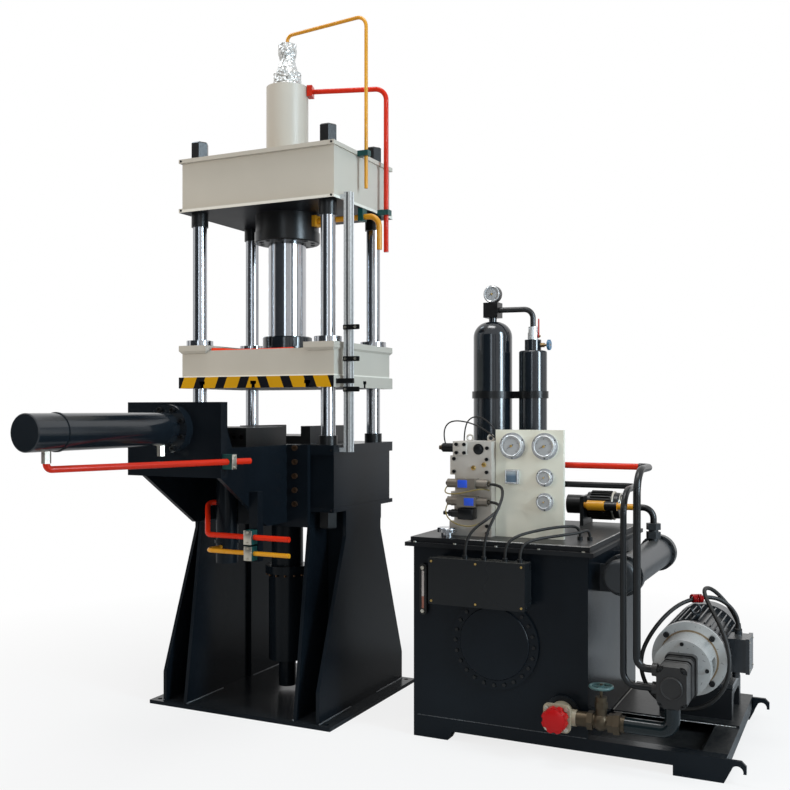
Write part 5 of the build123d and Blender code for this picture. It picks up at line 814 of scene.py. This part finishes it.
# %% Bolts of the power unit
box_low, box_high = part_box("junction_box")
cover_low, cover_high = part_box("manhole_cover")
bell_low, bell_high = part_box("bell_housing")
cooler_low, cooler_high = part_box("oil_cooler")
lid_low, lid_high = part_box("tank_lid")
COVER_RIM = 0.008
cover_middle = (cover_low + cover_high) / 2
ring = bolt_ring((cover_middle.x, cover_low.y + COVER_RIM, cover_middle.z), FRONT, 0.198, 24)
bolts("manhole_bolts", HEX_TREE, ring, 0.009, 0.008, "black_steel")
BOX_EDGE, BOX_TOP_ROW = 0.016, 0.205
box_xs = (box_low.x + BOX_EDGE, (box_low.x + box_high.x) / 2, box_high.x - BOX_EDGE)
box_zs = (box_low.z + BOX_EDGE, box_low.z + BOX_TOP_ROW)
box_screws = [((x, box_low.y, z), FRONT) for x in box_xs for z in box_zs]
bolts("box_screws", CAP_TREE, box_screws, 0.0055, 0.003, "bolt_brass")
FILTER_FACE, FILTER_BOLT = (1.731, -0.475, 0.215), 0.046
filter_bolts = four(FILTER_FACE, FILTER_BOLT, FILTER_BOLT)
bolts("filter_bolts", CAP_TREE, filter_bolts, 0.009, 0.009, "bolt_zinc")
motor_x, motor_z = (bell_low.x + bell_high.x) / 2, (bell_low.z + bell_high.z) / 2
BELL_FLANGE_FACE = 0.0
ring = bolt_ring((motor_x, BELL_FLANGE_FACE, motor_z), FRONT, 0.150, 4, 0.5)
bolts("bell_bolts", CAP_TREE, ring, 0.014, 0.010, "black_steel")
ring = bolt_ring((motor_x, bell_low.y, motor_z), FRONT, 0.112, 4)
bolts("bell_nose_bolts", CAP_TREE, ring, 0.009, 0.008, "black_steel")
COOLER_X, COOLER_Z, COOLER_RING = 1.982, 0.850, 0.088
COOLER_CAP, COOLER_JOINT = 0.070, 0.122
heads = []
for flange_y, away in (
    (cooler_low.y + COOLER_CAP, FRONT), (cooler_low.y + COOLER_JOINT, -FRONT),
    (cooler_high.y - COOLER_CAP, -FRONT), (cooler_high.y - COOLER_JOINT, FRONT),
):
    heads += bolt_ring((COOLER_X, flange_y, COOLER_Z), away, COOLER_RING, 10)
bolts("cooler_bolts", HEX_TREE, heads, 0.007, 0.009, "black_steel")
LID_EDGE, LID_END, LID_RIM, LID_ROW = 0.011, 0.05, 0.020, 5
lid_bolts = []
for step in range(LID_ROW):
    x = lid_low.x + LID_END + step * (lid_high.x - lid_low.x - 2 * LID_END) / (LID_ROW - 1)
    for y in (lid_low.y + LID_EDGE, lid_high.y - LID_EDGE):
        lid_bolts.append(((x, y, lid_low.z + LID_RIM), UP))
bolts("lid_bolts", HEX_TREE, lid_bolts, 0.008, 0.006, "bolt_zinc")

# %% [markdown]
# ## Film over the prefill valve
# The valve on top is wrapped in thin film for transport. A turned shell is pushed in and out
# by a coarse and a fine layer of noise, so it crumples without any simulation.

# %% Crinkled film
valve_low, valve_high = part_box("prefill_valve")
valve_height = valve_high.z - valve_low.z
FILM_ROWS, FILM_STEPS = 60, 88
CRUMPLE, SAG = 0.12, 0.004
# Radius of the wrapped valve at shares of its height: wide foot, waist and cap
WRAP = (
    (0.0, 0.078), (0.30, 0.079), (0.40, 0.056), (0.60, 0.043),
    (0.78, 0.053), (0.95, 0.050), (1.0, 0.012),
)


def valve_radius(share):
    for (start, low), (end, high) in zip(WRAP, WRAP[1:]):
        if share <= end:
            blend = (share - start) / (end - start)
            return low + (high - low) * blend * blend * (3 - 2 * blend)
    return WRAP[-1][1]


film_shape = bmesh.new()
film_rings = []
for row in range(FILM_ROWS + 1):
    share = row / FILM_ROWS
    ring = []
    for step in range(FILM_STEPS):
        a = math.tau * step / FILM_STEPS
        way = Vector((math.cos(a), math.sin(a), 0))
        spot = way * 0.06 + UP * share * valve_height
        crumple = noise.noise(spot * 55) * 0.6 + noise.noise(spot * 130 + Vector((7, 3, 1))) * 0.4
        radius = valve_radius(share) * (1 + CRUMPLE * crumple)
        sag = noise.noise(spot * 40 + Vector((2, 9, 4))) * SAG
        height = share * valve_height + sag * math.sin(math.pi * share)
        height = min(max(height, 0), valve_height)
        ring.append(film_shape.verts.new(way * radius + UP * (valve_low.z + height)))
    film_rings.append(ring)
skin(film_shape, film_rings)
film_wrap = piece("valve_film", film_shape, "film", crease=14)
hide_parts("prefill_valve")

# %% [markdown]
# ## Dials
# Each gauge has a rounded chrome bezel, a pale face, a ring of ticks and a needle. The ticks
# are one small bar copied round a circle.

# %% Dials on the panel
panel_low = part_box("gauge_panel")[0]
gauges_low, gauges_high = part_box("pressure_gauges")
LEFT_COLUMN, RIGHT_COLUMN = panel_low.x + 0.089, panel_low.x + 0.255
TOP_ROW, MIDDLE_ROW, LOW_ROW = panel_low.z + 0.451, panel_low.z + 0.299, panel_low.z + 0.180
# Each gauge: place, radius of its flange and of its dial, and the needle's angle
GAUGES = (
    (LEFT_COLUMN, TOP_ROW, 0.066, 0.052, 215),
    (RIGHT_COLUMN, TOP_ROW, 0.066, 0.052, 205),
    (RIGHT_COLUMN, MIDDLE_ROW, 0.044, 0.033, 220),
    (RIGHT_COLUMN, LOW_ROW, 0.044, 0.033, 215),
)
TICKS, LONG_EVERY = 28, 7
FIRST_TICK, SWEEP = math.radians(225), math.radians(270)
MARK_LIFT, NEEDLE_LIFT = 0.0022, 0.0004
faces, marks, bezels, hubs = bmesh.new(), bmesh.new(), bmesh.new(), bmesh.new()


def dial(x, front_y, z, radius, needle_degrees):
    """Face, ticks and needle of one gauge whose glass is at front_y."""
    turn(faces, [(radius * 0.90, 0.0), (radius * 0.90, 0.0012)], FRONT, (x, front_y, z))
    ring_form(bezels, radius * 0.95, radius * 0.10, FRONT, (x, front_y, z))
    hub = Vector((x, front_y - MARK_LIFT, z))
    for tick in range(TICKS + 1):
        a = FIRST_TICK - SWEEP * tick / TICKS
        inner, half = (0.62, 0.014) if tick % LONG_EVERY == 0 else (0.70, 0.008)
        along = Vector((math.cos(a), 0, math.sin(a))) * radius
        across = Vector((-math.sin(a), 0, math.cos(a))) * radius * half
        start, end = hub + along * inner, hub + along * 0.80
        corners = (start - across, end - across, end + across, start + across)
        marks.faces.new([marks.verts.new(corner) for corner in corners])
    a = math.radians(needle_degrees)
    along = Vector((math.cos(a), 0, math.sin(a))) * radius
    across = Vector((-math.sin(a), 0, math.cos(a))) * radius * 0.035
    pivot = hub + FRONT * NEEDLE_LIFT
    tip, tail = pivot + along * 0.70, pivot - along * 0.25
    marks.faces.new([marks.verts.new(corner) for corner in (tail - across, tip, tail + across)])
    nut = [(radius * 0.13, 0.0), (radius * 0.12, 0.003), (radius * 0.05, 0.004)]
    turn(hubs, nut, FRONT, hub, 20)


screws = []
for x, z, flange, radius, needle in GAUGES:
    dial(x, gauges_low.y, z, radius, needle)
    screws += bolt_ring((x, gauges_high.y - 0.008, z), FRONT, flange * 0.91, 3, 0.25)
bolts("gauge_screws", CAP_TREE, screws, 0.0035, 0.002, "black_steel")
HEAD_GAUGE, HEAD_DIAL = (1.080, 0.444, 2.276), 0.04508
dial(*HEAD_GAUGE, HEAD_DIAL, 210)
piece("dial_faces", faces, "dial_face")
piece("dial_marks", marks, "black_steel")
piece("dial_bezels", bezels, "gauge_case")
piece("dial_hubs", hubs, "bolt_brass")

# %% Meter window on the panel
METER_HALF, METER_BAR = 0.030, 0.003
meter_back = gauges_low.y + 0.010
meter = bmesh.new()
upright(meter, (LEFT_COLUMN, MIDDLE_ROW), METER_HALF, METER_HALF, gauges_low.y + 0.006, meter_back)
glass = finishes["meter_glass"]
# Painted reflection: the upper part of the meter glass is painted a pale blue grey.
glass_reflection = glass.ramp(glass.axes()[2], MIDDLE_ROW + 0.002, MIDDLE_ROW + 0.022)
glass.over(glass_reflection, rgb(0.42, 0.47, 0.50))
piece("meter_window", meter, "meter_glass")
frame_bars = bmesh.new()
for side in (-METER_HALF, METER_HALF):
    depth = (gauges_low.y + METER_BAR, meter_back)
    upright(frame_bars, (LEFT_COLUMN + side, MIDDLE_ROW), METER_BAR, METER_HALF + METER_BAR, *depth)
    upright(frame_bars, (LEFT_COLUMN, MIDDLE_ROW + side), METER_HALF - METER_BAR, METER_BAR, *depth)
piece("meter_frame", frame_bars, "gauge_case")

# %% [markdown]
# ## Manifold trim
# The blocks of the manifold are bolted together with large socket caps. A cover plate, ports,
# a relief valve with its adjusting screw and a pressure sensor stand on its front and side.
# The two solenoid valves carry blank blue plates, and thin leads run between the sockets.

# %% Cover plate, ports and relief valve of the manifold
mani_low, mani_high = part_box("valve_manifold")
COVER_X, COVER_Z, COVER_HALF, COVER_THICK, COVER_BOLT = 1.170, 1.426, 0.032, 0.012, 0.021
cover_front = mani_low.y - COVER_THICK
cover_plate = bmesh.new()
upright(cover_plate, (COVER_X, COVER_Z), COVER_HALF, COVER_HALF, cover_front, mani_low.y)
piece("manifold_cover_plate", cover_plate, "plated_block")
caps = four((COVER_X, cover_front, COVER_Z), COVER_BOLT, COVER_BOLT)
caps += [((mani_low.x + dx, mani_low.y, z), FRONT) for z in (1.310, 1.374) for dx in (0.026, 0.200)]
caps += [((mani_high.x - 0.022, mani_low.y, z), FRONT) for z in (1.008, 1.044, 1.430)]
bolts("manifold_caps", CAP_TREE, caps, 0.009, 0.008, "black_steel")
ports, plugs = bmesh.new(), bmesh.new()
FLANGED_PORT = ((0.027, 0), (0.027, 0.004), (0.020, 0.005), (0.020, 0.012), (0.014, 0.014))
HEX_PORT = ((0.016, 0), (0.016, 0.010), (0.010, 0.012))
PLUG = ((0.012, 0), (0.012, 0.006), (0.008, 0.007), (0.007, 0.002))
turn(ports, FLANGED_PORT, FRONT, (1.262, mani_low.y, 1.424))
turn(ports, HEX_PORT, FRONT, (1.160, mani_low.y, 1.100), 6)
piece("manifold_ports", ports, "black_steel")
for plug_x, plug_z in ((1.292, 1.347), (1.236, 1.330), (1.300, 1.250)):
    turn(plugs, PLUG, FRONT, (plug_x, mani_low.y, plug_z), 24)
piece("manifold_plugs", plugs, "bolt_brass")
relief_valve, screw = bmesh.new(), bmesh.new()
SCREW_AXIS = (1.172, -0.270, 1.104)
SCREW_BODY = ((0.020, 0), (0.020, 0.040), (0.016, 0.044), (0.016, 0.056))
SCREW_STEM = ((0.006, 0.056), (0.006, 0.074), (0.010, 0.074), (0.010, 0.084))
block(relief_valve, (1.172, -0.300, 1.076), (1.254, mani_low.y, 1.132), 0.005)
turn(screw, SCREW_BODY, -RIGHT, SCREW_AXIS, 24)
turn(screw, SCREW_STEM, -RIGHT, SCREW_AXIS, 12)
piece("relief_valve", relief_valve, "black_steel")
piece("relief_screw", screw, "cast_iron")

# %% Solenoid valves, sensor and their leads
COIL_Y, LEFT_COIL, RIGHT_COIL = -0.272, 1.112, 1.324
COIL_NUT = ((0.013, 0), (0.013, 0.007), (0.009, 0.010))
SENSOR_AXIS = (1.124, -0.145, 1.426)
SENSOR_NUT = ((0.028, 0), (0.028, 0.010), (0.024, 0.012))
SENSOR_PLUG = ((0.016, 0.092), (0.016, 0.100), (0.011, 0.102), (0.011, 0.112))
plates, nuts = bmesh.new(), bmesh.new()
for level, plate_x in ((1.166, 1.235), (1.254, 1.201)):
    upright(plates, (plate_x, level), 0.025, 0.019, -0.307, -0.303)
    for coil_end, out in ((LEFT_COIL, -RIGHT), (RIGHT_COIL, RIGHT)):
        turn(nuts, COIL_NUT, out, (coil_end, COIL_Y, level), 6)
piece("valve_plates", plates, "blue_plastic")
turn(nuts, SENSOR_NUT, -RIGHT, SENSOR_AXIS, 6)
turn(nuts, SENSOR_PLUG, -RIGHT, SENSOR_AXIS, 16)
piece("coil_nuts", nuts, "brass")
SENSOR_LEADS = (
    ("sensor_lead_1", "cable_rubber", 0.007,
     ((1.046, -0.145, 1.440), (1.030, -0.150, 1.500), (1.070, -0.160, 1.566), (1.180, -0.165, 1.560),
      (1.290, -0.165, 1.510), (1.345, -0.165, 1.460))),
    ("sensor_lead_2", "cable_rubber", 0.007,
     ((1.150, -0.150, 1.455), (1.150, -0.150, 1.540), (1.200, -0.155, 1.592), (1.285, -0.160, 1.570),
      (1.345, -0.165, 1.490))),
    ("coil_lead_1", "lead_yellow", 0.006,
     ((1.118, -0.280, 1.246), (1.100, -0.292, 1.222), (1.120, -0.318, 1.204), (1.180, -0.326, 1.204),
      (1.246, -0.322, 1.220), (1.300, -0.300, 1.232), (1.318, -0.262, 1.226), (1.318, -0.236, 1.220))),
    ("coil_lead_2", "lead_yellow", 0.006,
     ((1.118, -0.280, 1.158), (1.106, -0.300, 1.128), (1.126, -0.318, 1.084), (1.176, -0.322, 1.054),
      (1.240, -0.312, 1.044), (1.284, -0.280, 1.058), (1.290, -0.236, 1.070))),
)
for name, finish, thick, route in SENSOR_LEADS:
    held_lead(name, route, thick, finish)

# %% [markdown]
# ## Pump and motor trim
# The pump's cover is held by four large bolts in its corner scallops. The motor's fan cowl has
# rings of holes, shown as dark discs of painted shade; its eyebolt is wrapped with red tape where
# the cable hangs, and the cable leaves the terminal box through a tapered sleeve.

# %% Pump and motor trim
PUMP_X, PUMP_Z, EAR_FACE_Y = 2.240, 0.408, -0.444
bolts("pump_bolts", CAP_TREE, four((PUMP_X, EAR_FACE_Y, PUMP_Z), 0.047, 0.073), 0.011, 0.013, "black_steel")
PUMP_BOSS = ((0.050, 0), (0.050, 0.005), (0.046, 0.008), (0.042, 0.006), (0.038, 0.006))
boss = bmesh.new()
turn(boss, PUMP_BOSS, FRONT, (PUMP_X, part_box("gear_pump")[0].y, PUMP_Z), 48)
piece("pump_boss", boss, "cast_iron")
motor_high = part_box("drive_motor")[1]
# Painted shade: dark rubber discs stand in for the holes of the fan cowl.
grille = []
for ring_number, radius in enumerate((0.05, 0.08, 0.11, 0.135)):
    grille += bolt_ring((motor_x, motor_high.y, motor_z), -FRONT, radius, 10 + 6 * ring_number)
bolts("cowl_hole_shade", CAP_TREE, grille, 0.007, 0.001, "cable_rubber")
TAPE_RADIUS, TAPE_WIRE = 0.0160, 0.0062
tape = bmesh.new()
for shift, sway in ((-0.018, 0.3), (-0.009, -0.1), (0.0, -0.25), (0.009, 0.2), (0.018, 0.1)):
    wrapped = (2.244 + shift, 0.206 + shift * 0.6, 0.687)
    ring_form(tape, TAPE_RADIUS, TAPE_WIRE, (0.88, 0.62 + sway, 0.15), wrapped, 24, 8)
piece("eyebolt_tape", tape, "red_plastic")
SLEEVE = ((0.018, 0), (0.018, 0.008), (0.014, 0.012), (0.0115, 0.036))
relief = bmesh.new()
turn(relief, SLEEVE, UP, CABLE_ROUTE[0], 24)
piece("cable_relief", relief, "cable_rubber")
terminal = [((motor_high.x, y, z), RIGHT) for y in (0.170, 0.300) for z in (0.368, 0.500)]
bolts("terminal_box_screws", CAP_TREE, terminal, 0.005, 0.003, "bolt_zinc")

# %% [markdown]
# ## Circulation pump
# The small motor on the lid has cooling fins round its shell and a wire guard over its fan. The
# fins are one thin bar set on a ring of points, each turned outwards.

# %% Fins and guard of the circulation pump
CIRC_X, CIRC_Y, CIRC_Z, CIRC_RADIUS = 1.684, 0.562, 1.095, 0.071
FIN_COUNT, FIN_LIFT, FIN_SIZE = 26, 0.003, (0.110, 0.003, 0.012)
COWL_X, GUARD_BACK = 1.752, 0.004


def fin_tree():
    tree = CopyTree("cooling_fins", {"Fin size": "Vector"})
    bar = tree.add("GeometryNodeMeshCube", {"Size": tree.given["Fin size"]})
    return tree.end(tree.given["Geometry"], bar, Rotation=tree.turned())


fin_places = []
for step in range(FIN_COUNT):
    a = math.tau * (step + 0.5) / FIN_COUNT
    out = Vector((0, math.sin(a), math.cos(a)))
    fin_places.append((Vector((CIRC_X, CIRC_Y, CIRC_Z)) + out * (CIRC_RADIUS + FIN_LIFT), out))
dotted("circulation_fins", fin_tree(), fin_places, {"Fin size": FIN_SIZE}, "cast_iron")
guard_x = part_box("circulation_pump")[1].x - GUARD_BACK
guard = bmesh.new()
for radius, out in ((0.070, 0.006), (0.052, 0.010), (0.034, 0.012), (0.016, 0.013)):
    ring_form(guard, radius, 0.002, RIGHT, (guard_x + out, CIRC_Y, CIRC_Z), 40, 6)
ring_form(guard, 0.074, 0.006, RIGHT, (COWL_X, CIRC_Y, CIRC_Z), 40, 8)
piece("fan_guard", guard, "bolt_zinc")

# %% [markdown]
# ## Pipe clamps
# Each pipe clamp is a green plastic block between steel plates, held by two screws. The solids
# give the plastic; the plates and screws are added here.

# %% Plates and screws of the pipe clamps
CLAMP_X, CLAMP_THICK, CLAMP_HALF, CLAMP_SCREW = 0.260, 0.004, 0.035, 0.025
clamp_plates = bmesh.new()
clamp_screws = []
for clamp_y, clamp_z in ((-0.7845, 0.991), (-0.7825, 0.912)):
    face_y = clamp_y - CLAMP_THICK
    upright(clamp_plates, (CLAMP_X, clamp_z), 0.023, CLAMP_HALF, face_y, clamp_y, 0.001)
    clamp_screws += [((CLAMP_X, face_y, clamp_z + way * CLAMP_SCREW), FRONT) for way in (-1, 1)]
SIDE_CLAMP = (0.3335, -1.006, 1.376)
x, y, z = SIDE_CLAMP
face_x = x + CLAMP_THICK
block(clamp_plates, (x, y - 0.017, z - CLAMP_HALF), (face_x, y + 0.017, z + CLAMP_HALF), 0.001)
clamp_screws += [((face_x, y, z + way * CLAMP_SCREW), RIGHT) for way in (-1, 1)]
piece("clamp_plates", clamp_plates, "bolt_zinc")
bolts("clamp_screws", CAP_TREE, clamp_screws, 0.0055, 0.005, "bolt_zinc")

# %% [markdown]
# ## Welds
# Fillet welds run where the legs meet the floor plate, and along the tank and the skid. A weld
# is a row of overlapping blobs, so a tree walks along each seam and sets down a ball of uneven
# size at every step.


# %% Weld beads
def weld_tree():
    tree = CopyTree("weld_beads", {"Bead radius": "Float"})
    radius = tree.given["Bead radius"]
    seam = tree.add("GeometryNodeMeshToCurve", {"Mesh": tree.given["Geometry"]})
    steps = tree.add("GeometryNodeResampleCurve", {"Curve": seam, "Length": radius}, mode="LENGTH")
    blob = tree.add("GeometryNodeMeshIcoSphere", {"Subdivisions": 1, "Radius": radius})
    spread = {2: 0.8, 3: 1.2, "Seed": 4}
    uneven = tree.add("FunctionNodeRandomValue", spread, output=1, data_type="FLOAT")
    return tree.end(steps, blob, Scale=uneven)


WELD_TREE = weld_tree()


def welds(name, seams, radius, finish="weld"):
    """Beads along a list of (start, end) seams."""
    mesh = bpy.data.meshes.new(name)
    points = [point for seam in seams for point in seam]
    mesh.from_pydata(points, [(2 * i, 2 * i + 1) for i in range(len(seams))], [])
    copied(name, WELD_TREE, mesh, {"Bead radius": radius}, finish).shade_smooth()


FLOOR_PLATE, FIN_X, PLATE_X = 0.020, 0.338, 0.495
WEB_Y, FOOT_Y, WEB_X = 0.155, 0.488, (0.345, 0.470)
LEG_BEAD, SEAM_BEAD = 0.006, 0.0035
leg_seams = []
for side in (-1, 1):
    for way in (-1, 1):
        for plate_x in (FIN_X, PLATE_X):
            leg_seams.append([(side * plate_x, way * y, FLOOR_PLATE) for y in (WEB_Y, FOOT_Y)])
        leg_seams.append([(side * x, way * WEB_Y, FLOOR_PLATE) for x in WEB_X])
welds("leg_welds", leg_seams, LEG_BEAD)
skid_seams = (
    ((1.855, 0.105, 0.116), (1.855, 0.630, 0.116)),
    ((2.452, 0.112, 0.108), (2.452, 0.560, 0.108)),
    ((1.860, 0.098, 0.107), (2.440, 0.098, 0.107)),
)
welds("skid_welds", skid_seams, SEAM_BEAD, "bare_weld")
welds("tank_foot_weld", [((0.990, -0.368, 0.107), (1.840, -0.368, 0.107))], SEAM_BEAD)
lid_seams = (
    ((1.858, -0.380, 0.989), (1.858, 0.640, 0.989)),
    ((1.250, -0.380, 0.989), (1.858, -0.380, 0.989)),
)
welds("lid_welds", lid_seams, SEAM_BEAD, "bare_weld")

# %% [markdown]
# ## Small trim
# A red strip lies on the platen between its pads, steel nuts hold the oil gauge, a bright screw
# holds each switch bracket to its rail, and the filter's knob has a domed face.

# %% Knob face, strip on the platen, nuts of the oil gauge and switch screws
DOME = (
    (0.0500, -0.001), (0.0485, 0.002), (0.0420, 0.0045),
    (0.0280, 0.0070), (0.0120, 0.0082), (0.001, 0.0084),
)
knob_low, knob_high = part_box("filter_knob")
knob_face = ((knob_low.x + knob_high.x) / 2, knob_low.y, (knob_low.z + knob_high.z) / 2)
knob_dome = bmesh.new()
turn(knob_dome, DOME, FRONT, knob_face)
piece("knob_dome", knob_dome, "red_plastic")

DECK_Z = 1.950
STRIP_FOOT, STRIP_TOP = (-0.318, -0.300), (-0.302, -0.316)
STRIP = ((-0.300, 0.016), (-0.220, 0.012), (-0.130, 0.005), (0.060, 0.004), (0.230, 0.006))
strip = bmesh.new()
rings = []
for strip_x, thick in STRIP:
    corners = [(y, DECK_Z) for y in STRIP_FOOT] + [(y, DECK_Z + thick) for y in STRIP_TOP]
    rings.append([strip.verts.new((strip_x, y, z)) for y, z in corners])
skin(strip, rings)
piece("platen_strip", strip, "strip_red", body="platen")

level_low, level_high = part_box("level_gauge")
level_x = (level_low.x + level_high.x) / 2
nut_zs = (level_low.z + 0.020, level_high.z - 0.020)
level_nuts = [((level_x, level_low.y, z), FRONT) for z in nut_zs]
bolts("level_gauge_nuts", HEX_TREE, level_nuts, 0.010, 0.008, "bolt_zinc")
switch_low, switch_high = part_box("switch_brackets")
SWITCH_LEVELS = (2.053, 1.887, 1.728)
switch_heads = [((switch_low.x + 0.014, switch_low.y, z), FRONT) for z in SWITCH_LEVELS]
switch_heads += [((switch_high.x - 0.022, switch_low.y, z), FRONT) for z in SWITCH_LEVELS[:2]]
bolts("switch_screws", CAP_TREE, switch_heads, 0.007, 0.005, "bolt_zinc")

# %% [markdown]
# ## Light and floor
# The background is white where the camera, a mirror or glass looks straight at it, while the
# light that falls on the machine is softer. A warm lamp stands on the left and a stronger, cool
# one on the right, so front and side faces part. Cards that only mirrors see do the rest: a dark
# one to the front left keeps flat black faces black, narrow ones streak the chrome, and three
# bright ones draw long highlights on the round black shells.

# %% Background
world = bpy.data.worlds.new("studio")
bpy.context.scene.world = world
world.use_nodes = True
world.node_tree.nodes.clear()
sky = Network(world.node_tree)
ray, mirror_ray, glass_ray = [
    sky.node("ShaderNodeLightPath", output=f"Is {kind} Ray")
    for kind in ("Camera", "Glossy", "Transmission")
]
HIGHER = {"operation": "MAXIMUM"}
seen = sky.node("ShaderNodeMath", HIGHER, {0: mirror_ray, 1: glass_ray})
seen = sky.node("ShaderNodeMath", HIGHER, {0: ray, 1: seen})
soft = sky.node("ShaderNodeBackground", inputs={"Color": rgb(0.96, 0.98, 1.0), "Strength": 0.42})
white = sky.node("ShaderNodeBackground", inputs={"Color": rgb(1, 1, 1), "Strength": 1.0})
both = sky.node("ShaderNodeMixShader", inputs={0: seen, 1: soft, 2: white})
sky.tree.links.new(both.socket, sky.tree.nodes.new("ShaderNodeOutputWorld").inputs[0])
print("background ready")


# %% Lamps
def lamp(name, place, aim, size, watts, tint, mirrored=True):
    light = bpy.data.lights.new(name, "AREA")
    light.shape = "RECTANGLE"
    light.size, light.size_y = size
    light.energy = watts
    light.color = tint
    made = bpy.data.objects.new(name, light)
    made.location = place
    made.rotation_euler = (Vector(aim) - Vector(place)).to_track_quat("-Z", "Y").to_euler()
    made.visible_glossy = mirrored
    bpy.context.collection.objects.link(made)


WARM, COOL, NEUTRAL = (1.0, 0.94, 0.86), (0.66, 0.86, 1.0), (1.0, 1.0, 1.0)
lamp("left_softbox", (-4.6, -6.0, 3.0), (0.8, 0, 1.3), (1.2, 3.6), 210, WARM, mirrored=False)
lamp("right_softbox", (7.5, -1.6, 3.6), (0.8, 0, 1.4), (1.2, 4.5), 410, COOL)
lamp("top_softbox", (1.0, -0.8, 8.0), (1.0, 0, 0), (3.0, 2.0), 210, NEUTRAL)
print("lamps on")

# %% Floor
FLOOR_REACH, FLOOR_NEAR, FLOOR_FAR, FLOOR_MIDDLE = 14.0, 1.6, 4.2, 0.9
SHADOW_KEPT = 0.20
floor_paint = Finish("floor_paint")
floor_paint.set(Base_Color=rgb(0.62, 0.62, 0.62), Roughness=0.9, Specular_IOR_Level=0.0)
lit = Wire(floor_paint, floor_paint.shader.outputs[0])
glow = floor_paint.node("ShaderNodeEmission", inputs={"Color": rgb(1, 1, 1), "Strength": 1.0})
middle = {0: floor_paint.place(), 1: (-FLOOR_MIDDLE, 0, 0)}
shift = floor_paint.node("ShaderNodeMapping", inputs=middle)
away = floor_paint.node("ShaderNodeVectorMath", {"operation": "LENGTH"}, {0: shift}, output=1)
whiteness = 1 - (1 - floor_paint.ramp(away, FLOOR_NEAR, FLOOR_FAR)) * SHADOW_KEPT
blend = floor_paint.node("ShaderNodeMixShader", inputs={0: whiteness, 1: lit, 2: glow})
in_view = floor_paint.node("ShaderNodeLightPath", output="Is Camera Ray")
shown = floor_paint.node("ShaderNodeMixShader", inputs={0: in_view, 1: lit, 2: blend})
floor_paint.tree.links.new(shown.socket, floor_paint.tree.nodes["Material Output"].inputs[0])


def sheet(name, corners, finish):
    """One flat face of the stage, which is no part of the machine."""
    mesh = bpy.data.meshes.new(name)
    mesh.from_pydata(corners, [], [(0, 1, 2, 3)])
    mesh.materials.append(finish.material)
    made = bpy.data.objects.new(name, mesh)
    bpy.context.collection.objects.link(made)
    return made


square = ((-1, -1), (1, -1), (1, 1), (-1, 1))
sheet("floor", [(x * FLOOR_REACH, y * FLOOR_REACH, 0) for x, y in square], floor_paint)
print("floor laid")


# %% Cards
def card(name, tone, glow, near, far, heights):
    """An upright card that only mirrors see: dark to deepen a gloss, bright to streak it."""
    shade = Finish(name)
    shade.set(Base_Color=rgb(tone, tone * 1.05, tone * 1.15), Roughness=1.0, Specular_IOR_Level=0.0)
    shade.set(Emission_Color=rgb(0.80, 0.91, 1.0), Emission_Strength=glow)
    low, high = heights
    made = sheet(name, [(*near, low), (*far, low), (*far, high), (*near, high)], shade)
    made.visible_camera = False
    made.visible_diffuse = False
    made.visible_shadow = False


CARDS = (
    ("screen_front_left", 0.10, 0.0, (-10.5, -9.0), (2.2, -9.0), (0, 6)),
    ("screen_streak_camera", 0.08, 0.0, (4.6, -9.0), (5.2, -9.0), (0, 6)),
    ("screen_streak_front", 0.30, 0.0, (7.4, -9.0), (8.4, -9.0), (0, 6)),
    ("screen_streak_right", 0.20, 0.0, (10.0, -5.4), (10.0, -4.2), (0, 6)),
    ("screen_streak_side", 0.06, 0.0, (10.0, 0.6), (10.0, 1.4), (0, 6)),
    ("screen_streak_left", 0.16, 0.0, (-9.0, -2.6), (-9.0, -1.0), (0, 6)),
    ("screen_streak_back", 0.10, 0.0, (8.0, 6.4), (7.2, 7.4), (0, 6)),
    ("window_camera", 0.50, 5.0, (2.4, -9.2), (3.2, -9.2), (0.5, 6)),
    ("window_right", 0.50, 9.0, (8.0, -2.9), (8.6, -0.6), (1.2, 6)),
    ("window_above", 0.50, 6.0, (-2.4, -2.0), (-2.4, 1.2), (5.2, 7)),
)
for entry in CARDS:
    card(*entry)
print("cards:", len(CARDS))
